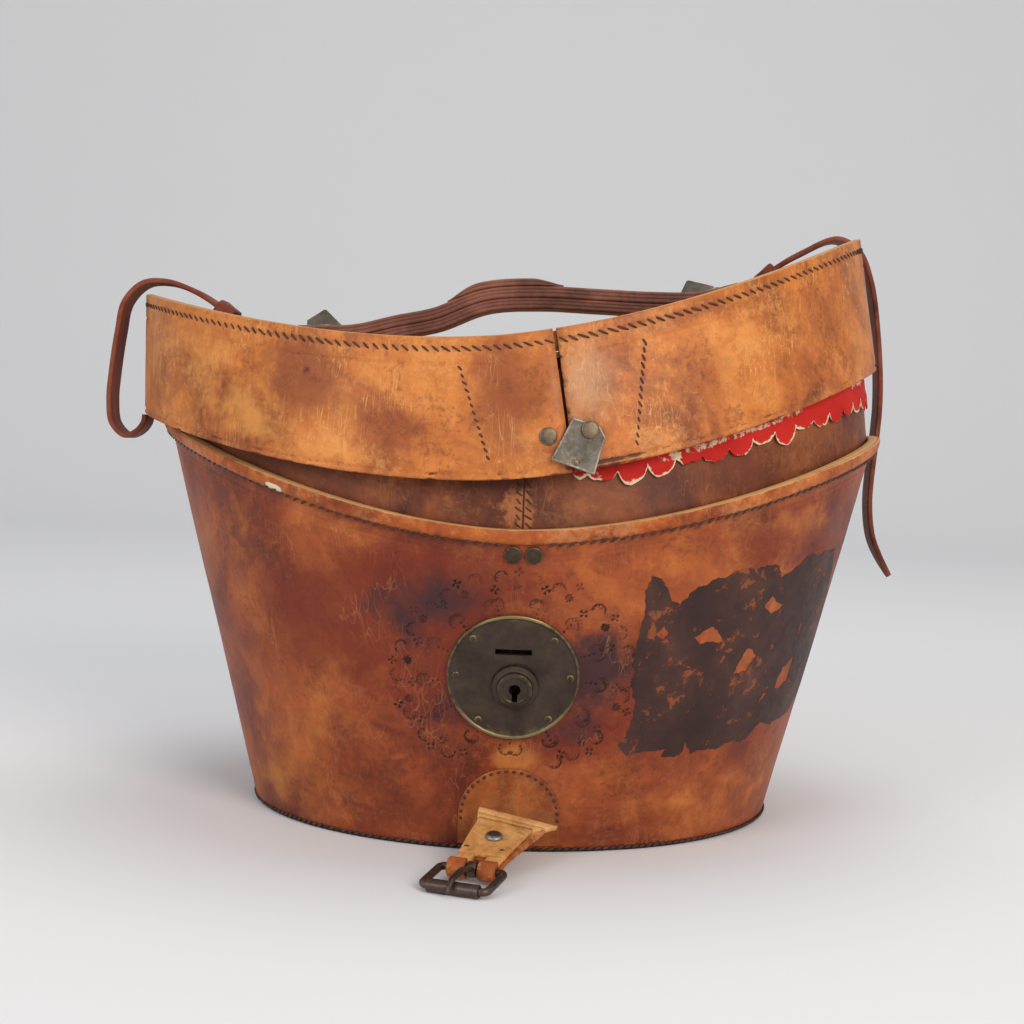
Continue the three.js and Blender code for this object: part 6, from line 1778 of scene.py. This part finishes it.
def makeHandlePlates():  # two square plates set cornerwise, their far corners bent up
    s = handleSet
    half, thick = s["plateSide"] * math.sqrt(0.5), s["plateThick"]
    bendAt = s["half"] + 2 * gap
    reach = half - bendAt
    bend = math.radians(s["plateBend"])
    # half width, lean, along and up
    stations = [(0.6, 0.0, -half, 0.0), (half * 0.5, 0.0, -half * 0.5, 0.0), (half, 0.0, 0.0, 0.0),
                ((half + reach) / 2, 0.0, bendAt / 2, 0.0), (reach, 0.0, bendAt, 0.0)]
    for span, k in ((reach + 0.6, 0.12), (reach, 0.7), (0.6, 1.0)):
        rise = s["plateRise"] * k
        stations.append((span, s["plateLean"] * k, bendAt + rise * math.cos(bend), rise * math.sin(bend)))
    for which, x in zip(("left", "right"), s["plates"]):
        stand = Matrix.Translation(Vector((x, s["y"], flatSeat(x, half))))
        stand = stand @ Matrix.Rotation(-math.atan(panelSlope(x)), 4, "Y")
        rows = [[] for k in range(8)]
        for span, lean, y, z in stations:
            section = ((-span, 0.1), (-span * 0.97, 0.0), (span * 0.97, 0.0), (span, 0.1),
                       (span, thick - 0.2), (span * 0.96, thick), (-span * 0.96, thick), (-span, thick - 0.2))
            for row, (across, up) in zip(rows, section):
                tip = (up * math.sin(bend), up * math.cos(bend)) if z else (0.0, up)
                row.append(seatLid(through(stand, (lean + across, y - tip[0], z + tip[1]))))
        worn = [np.full(len(stations), w) for w in s["plateWorn"]]
        plate = sweepMesh("handle_plate_near_" + which, rows, False, {"worn": worn}, 35)
        place(plate, plateSteel, "lid", "steel", "handle_plate_" + which)


makeHandle()
makeHandlePlates()
# over and under: (out, up) along each strap from the lid's upper edge, then from its lower edge
strapSet = {
    "half": 9.0, "thick": 2.6, "point": 16.0, "tip": 0.12, "columns": 240, "rivetRadius": 3.9,
    "keeperHalf": 4.5, "keeperWall": 2.0, "keeperCorner": 0.8,
    "left": {"y": -14.0, "side": -1, "foot": -61.6, "keeper": 0.16,
             "over": ((-50.6, -21), (-37.6, -9), (-26.6, -1), (-12.6, 5), (-0.6, 5), (9.2, -3.5), (13.6, -18)),
             "under": ((13.6, 21), (15.8, 7), (15.2, -5), (9.2, -11.5), (3.0, -9.6), (-0.6, -5.4), (-1.5, -1.9))},
    "right": {"y": 38.0, "side": 1, "foot": -65.6, "keeper": 0.12,
              "over": ((-53.6, -21.6), (-39, -8.8), (-22.9, -0.4), (-4.6, 5.4), (5.9, -1.6), (11.2, -16.6)),
              "under": ((9.3, 22), (8.8, -15), (1, -67), (1.5, -85), (4.5, -95), (10.2, -107))},
}


def makeStrap(which):
    s, own = strapSet, strapSet[which]
    side, count = own["side"], s["columns"]
    topZ = boxForm["side"] + lidForm["seat"] + lidForm["height"] + lidForm["tilt"] * side
    upper = (side * (lidForm["length"] - lidForm["flare"]), topZ)
    lower = (side * lidForm["length"], boxForm["side"] + lidForm["seat"])
    footX = upper[0] + side * own["foot"]
    points = [(footX, own["y"], float(panelHeight(footX)) + 3 * gap + s["thick"] / 2)]
    points += [(upper[0] + side * out, own["y"], upper[1] + up) for out, up in own["over"]]
    points += [(lower[0] + side * out, own["y"], lower[1] + up) for out, up in own["under"]]
    line, length = smoothLine(points, count)
    narrow = None
    if which == "right":
        tipShare = s["point"] / length
        pointed = lambda k: np.sqrt(np.clip((1 - k) / tipShare, 0, 1)) * (k > 1 - tipShare) + (k <= 1 - tipShare)
        narrow = lambda k: np.maximum(s["tip"], pointed(k))
    section = slabSection(s["half"], -s["thick"] / 2, s["thick"] / 2, 0.8, 3, 8)
    rows, up = plyRows(line, section, 0, 1, narrow)
    sway = np.stack([np.zeros(count), 0.7 * dents(line, 50, 8.0), np.zeros(count)], -1)
    rows = [seatLid(r + sway) for r in rows]
    worn = np.array([[0.55 if abs(a) > s["half"] - 1 else 0.1 for a, _ in section]]).T
    strap = sweepMesh("strap_leather_" + which, rows, False, {"edge": worn + 0.35 * dents(np.array(rows), 16, 3.0)})
    place(strap, strapLeather, "lid", "dark_leather", "strap_" + which)
    # keeper loop
    k = int(round(own["keeper"] * (count - 1)))
    along = line[k + 1] - line[k - 1]
    stand = Matrix.Translation(Vector(line[k])) @ Matrix.Rotation(-math.atan2(along[2], along[0]), 4, "Y")
    w, c = s["keeperHalf"], s["keeperCorner"]
    y, z, face = s["half"] + gap - c, s["thick"] / 2 + 2 * gap - c, c + s["keeperWall"]
    ring = [(cy, cz, math.radians(start + d))
            for cy, cz, start in ((y, z, 0), (-y, z, 90), (-y, -z, 180), (y, -z, 270))
            for d in range(0, 91, 15)]
    loops = [[seatLid(through(stand, (x, cy + r * math.cos(a), cz + r * math.sin(a)))) for cy, cz, a in ring]
             for x, r in ((-w + 0.4, c), (-w, 1.3), (-w, face - 0.5), (-w + 0.5, face), (0.0, face - 0.15),
                          (w - 0.5, face), (w, face - 0.5), (w, 1.3), (w - 0.4, c))]
    keeper = gather("strap_loop_" + which, [sweepPart(loops, True)])
    place(keeper, strapLeather, "lid", "dark_leather", "strap_keeper_" + which)
    at = int(round(s["rivetRadius"] / length * (count - 1))) + 1
    out = up[at] * (1 if up[0][2] > 0 else -1)
    seat = line[at] + out * s["thick"] / 2
    driveRivets("strap_rivet_head_" + which, [(seatLid(seat), turnLid(out), s["rivetRadius"])], rivetHead,
                rivetBrass, "lid", "strap_rivet_" + which)


makeStrap("left")
makeStrap("right")
print("handle and straps made")

# leather hinge at the back
hingeSet = {"half": 52.0, "thick": 2.0, "tall": 28.0, "fold": 2.5, "web": 25.0, "width": 52.0, "webHalf": 0.95,
            "columns": 70, "webColumns": 60, "rollSides": 20,
            "seam": {"pitch": 4.4, "length": 3.6, "thread": 1.0, "slant": 12, "uneven": 6, "seed": 18}}


def makeHinge():
    s = hingeSet
    span = math.asin(s["half"] / boxForm["rimLength"])
    t = np.linspace(backTurn - span, backTurn + span, s["columns"])
    leafFoot = lambda a: rimHeight(a) - weltSet["drop"] - gap - s["tall"]
    low = leafFoot(t)
    outer = gap + s["thick"]
    high = lidForm["height"]
    section = roundSection(0.0, s["tall"], outer, 0.05, 0.6, 6, 2)
    box = [wallAt(t, low + h, out + 0.1 * dents(wallAt(t, low + h), 20, 4.0) * (out > 1)) for h, out in section]
    place(sweepMesh("hinge_leaf_on_box", box, False), hingeLeather, "box", "tan_leather", "hinge_leaf_box")
    lidRows = [seatLid(lidAt(t, h / high, out)) for h, out in section]
    place(sweepMesh("hinge_leaf_on_lid", lidRows, False), hingeLeather, "lid", "tan_leather", "hinge_leaf_lid")
    edge = np.linspace(backTurn - span + 0.02, backTurn + span - 0.02, 60)
    ends = (edge[0], edge[-1])
    lines = [(*wallSeam(edge, leafFoot(edge) + 3.5, outer), False)]
    for end in ends:
        up = np.linspace(4.5, s["tall"] - 3, 12)
        column = np.full(len(up), end)
        lines.append((*wallSeam(column, leafFoot(column) + up, outer), False))
    sewSeam("hinge_stitches_box", lines, s["seam"], "box")
    shares = np.linspace(4 / high, 24 / high, 12)
    lidLines = [(*bandLine(edge, np.full(len(edge), 24.5 / high), outer), False)]
    lidLines += [(*bandLine(np.full(len(shares), end), shares, outer), False) for end in ends]
    sewSeam("hinge_stitches_lid", lidLines, s["seam"], "lid")
    # the fold: a roll at the rim and a web that goes up behind the lid
    foldZ = boxForm["front"] - s["fold"]
    foldY = float(wallAxes(foldZ)[1]) + 2 * gap + weltSet["out"] + s["fold"]
    back = lidForm["width"] + 5 * gap + 2 * s["thick"] - s["thick"] / 2
    profile = ((foldY - 0.6, -0.4), (foldY + 1.6, -0.1), (back - 1.0, 0.3), (back, 2.2), (back, 10),
               (back, s["web"] - 1.2))
    path = smoothLine([(0, y, foldZ + up) for y, up in profile], s["webColumns"])[0]
    along = unitRows(np.gradient(path, axis=0))
    normal = np.stack([np.zeros(len(path)), along[:, 2], -along[:, 1]], -1)
    half = s["width"] / 2
    web = [path + normal * up + np.array([across, 0, 0])
           for across, up in slabSection(half, -s["webHalf"], s["webHalf"], 0.6, 3, 10)]
    roll = [[(x, foldY + r * math.cos(a), foldZ + r * math.sin(a)) for a in fullTurn(s["rollSides"])]
            for x, r in ((-half, 0.3), (-half, s["fold"] - 0.4), (-half + 0.4, s["fold"]),
                         (half - 0.4, s["fold"]), (half, s["fold"] - 0.4), (half, 0.3))]
    fold = gather("hinge_fold_leather", [sweepPart(web, False), sweepPart(roll, True)])
    place(fold, hingeLeather, "hinge", "tan_leather", "hinge_fold")


hingeLook = dict(wallLook, tones=[(0.30, "#5f2d1c"), (0.44, "#7c4225"), (0.56, "#8f522d"), (0.72, "#a06236")])
hingeLeather = saddleLeather("saddle_leather_hinge", hingeLook)
makeHinge()
print("hinge made")

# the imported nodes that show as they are
for node, material in (("base_panel", hingeLeather), ("base_strip", hingeLeather), ("wall_board", pasteboard),
                       ("lock_case", plateSteel), ("lock_bolt", plateSteel)):
    paint(nodes[node], material)
for helper in (stitch, rivetHead, pinHead):
    bpy.data.objects.remove(helper)
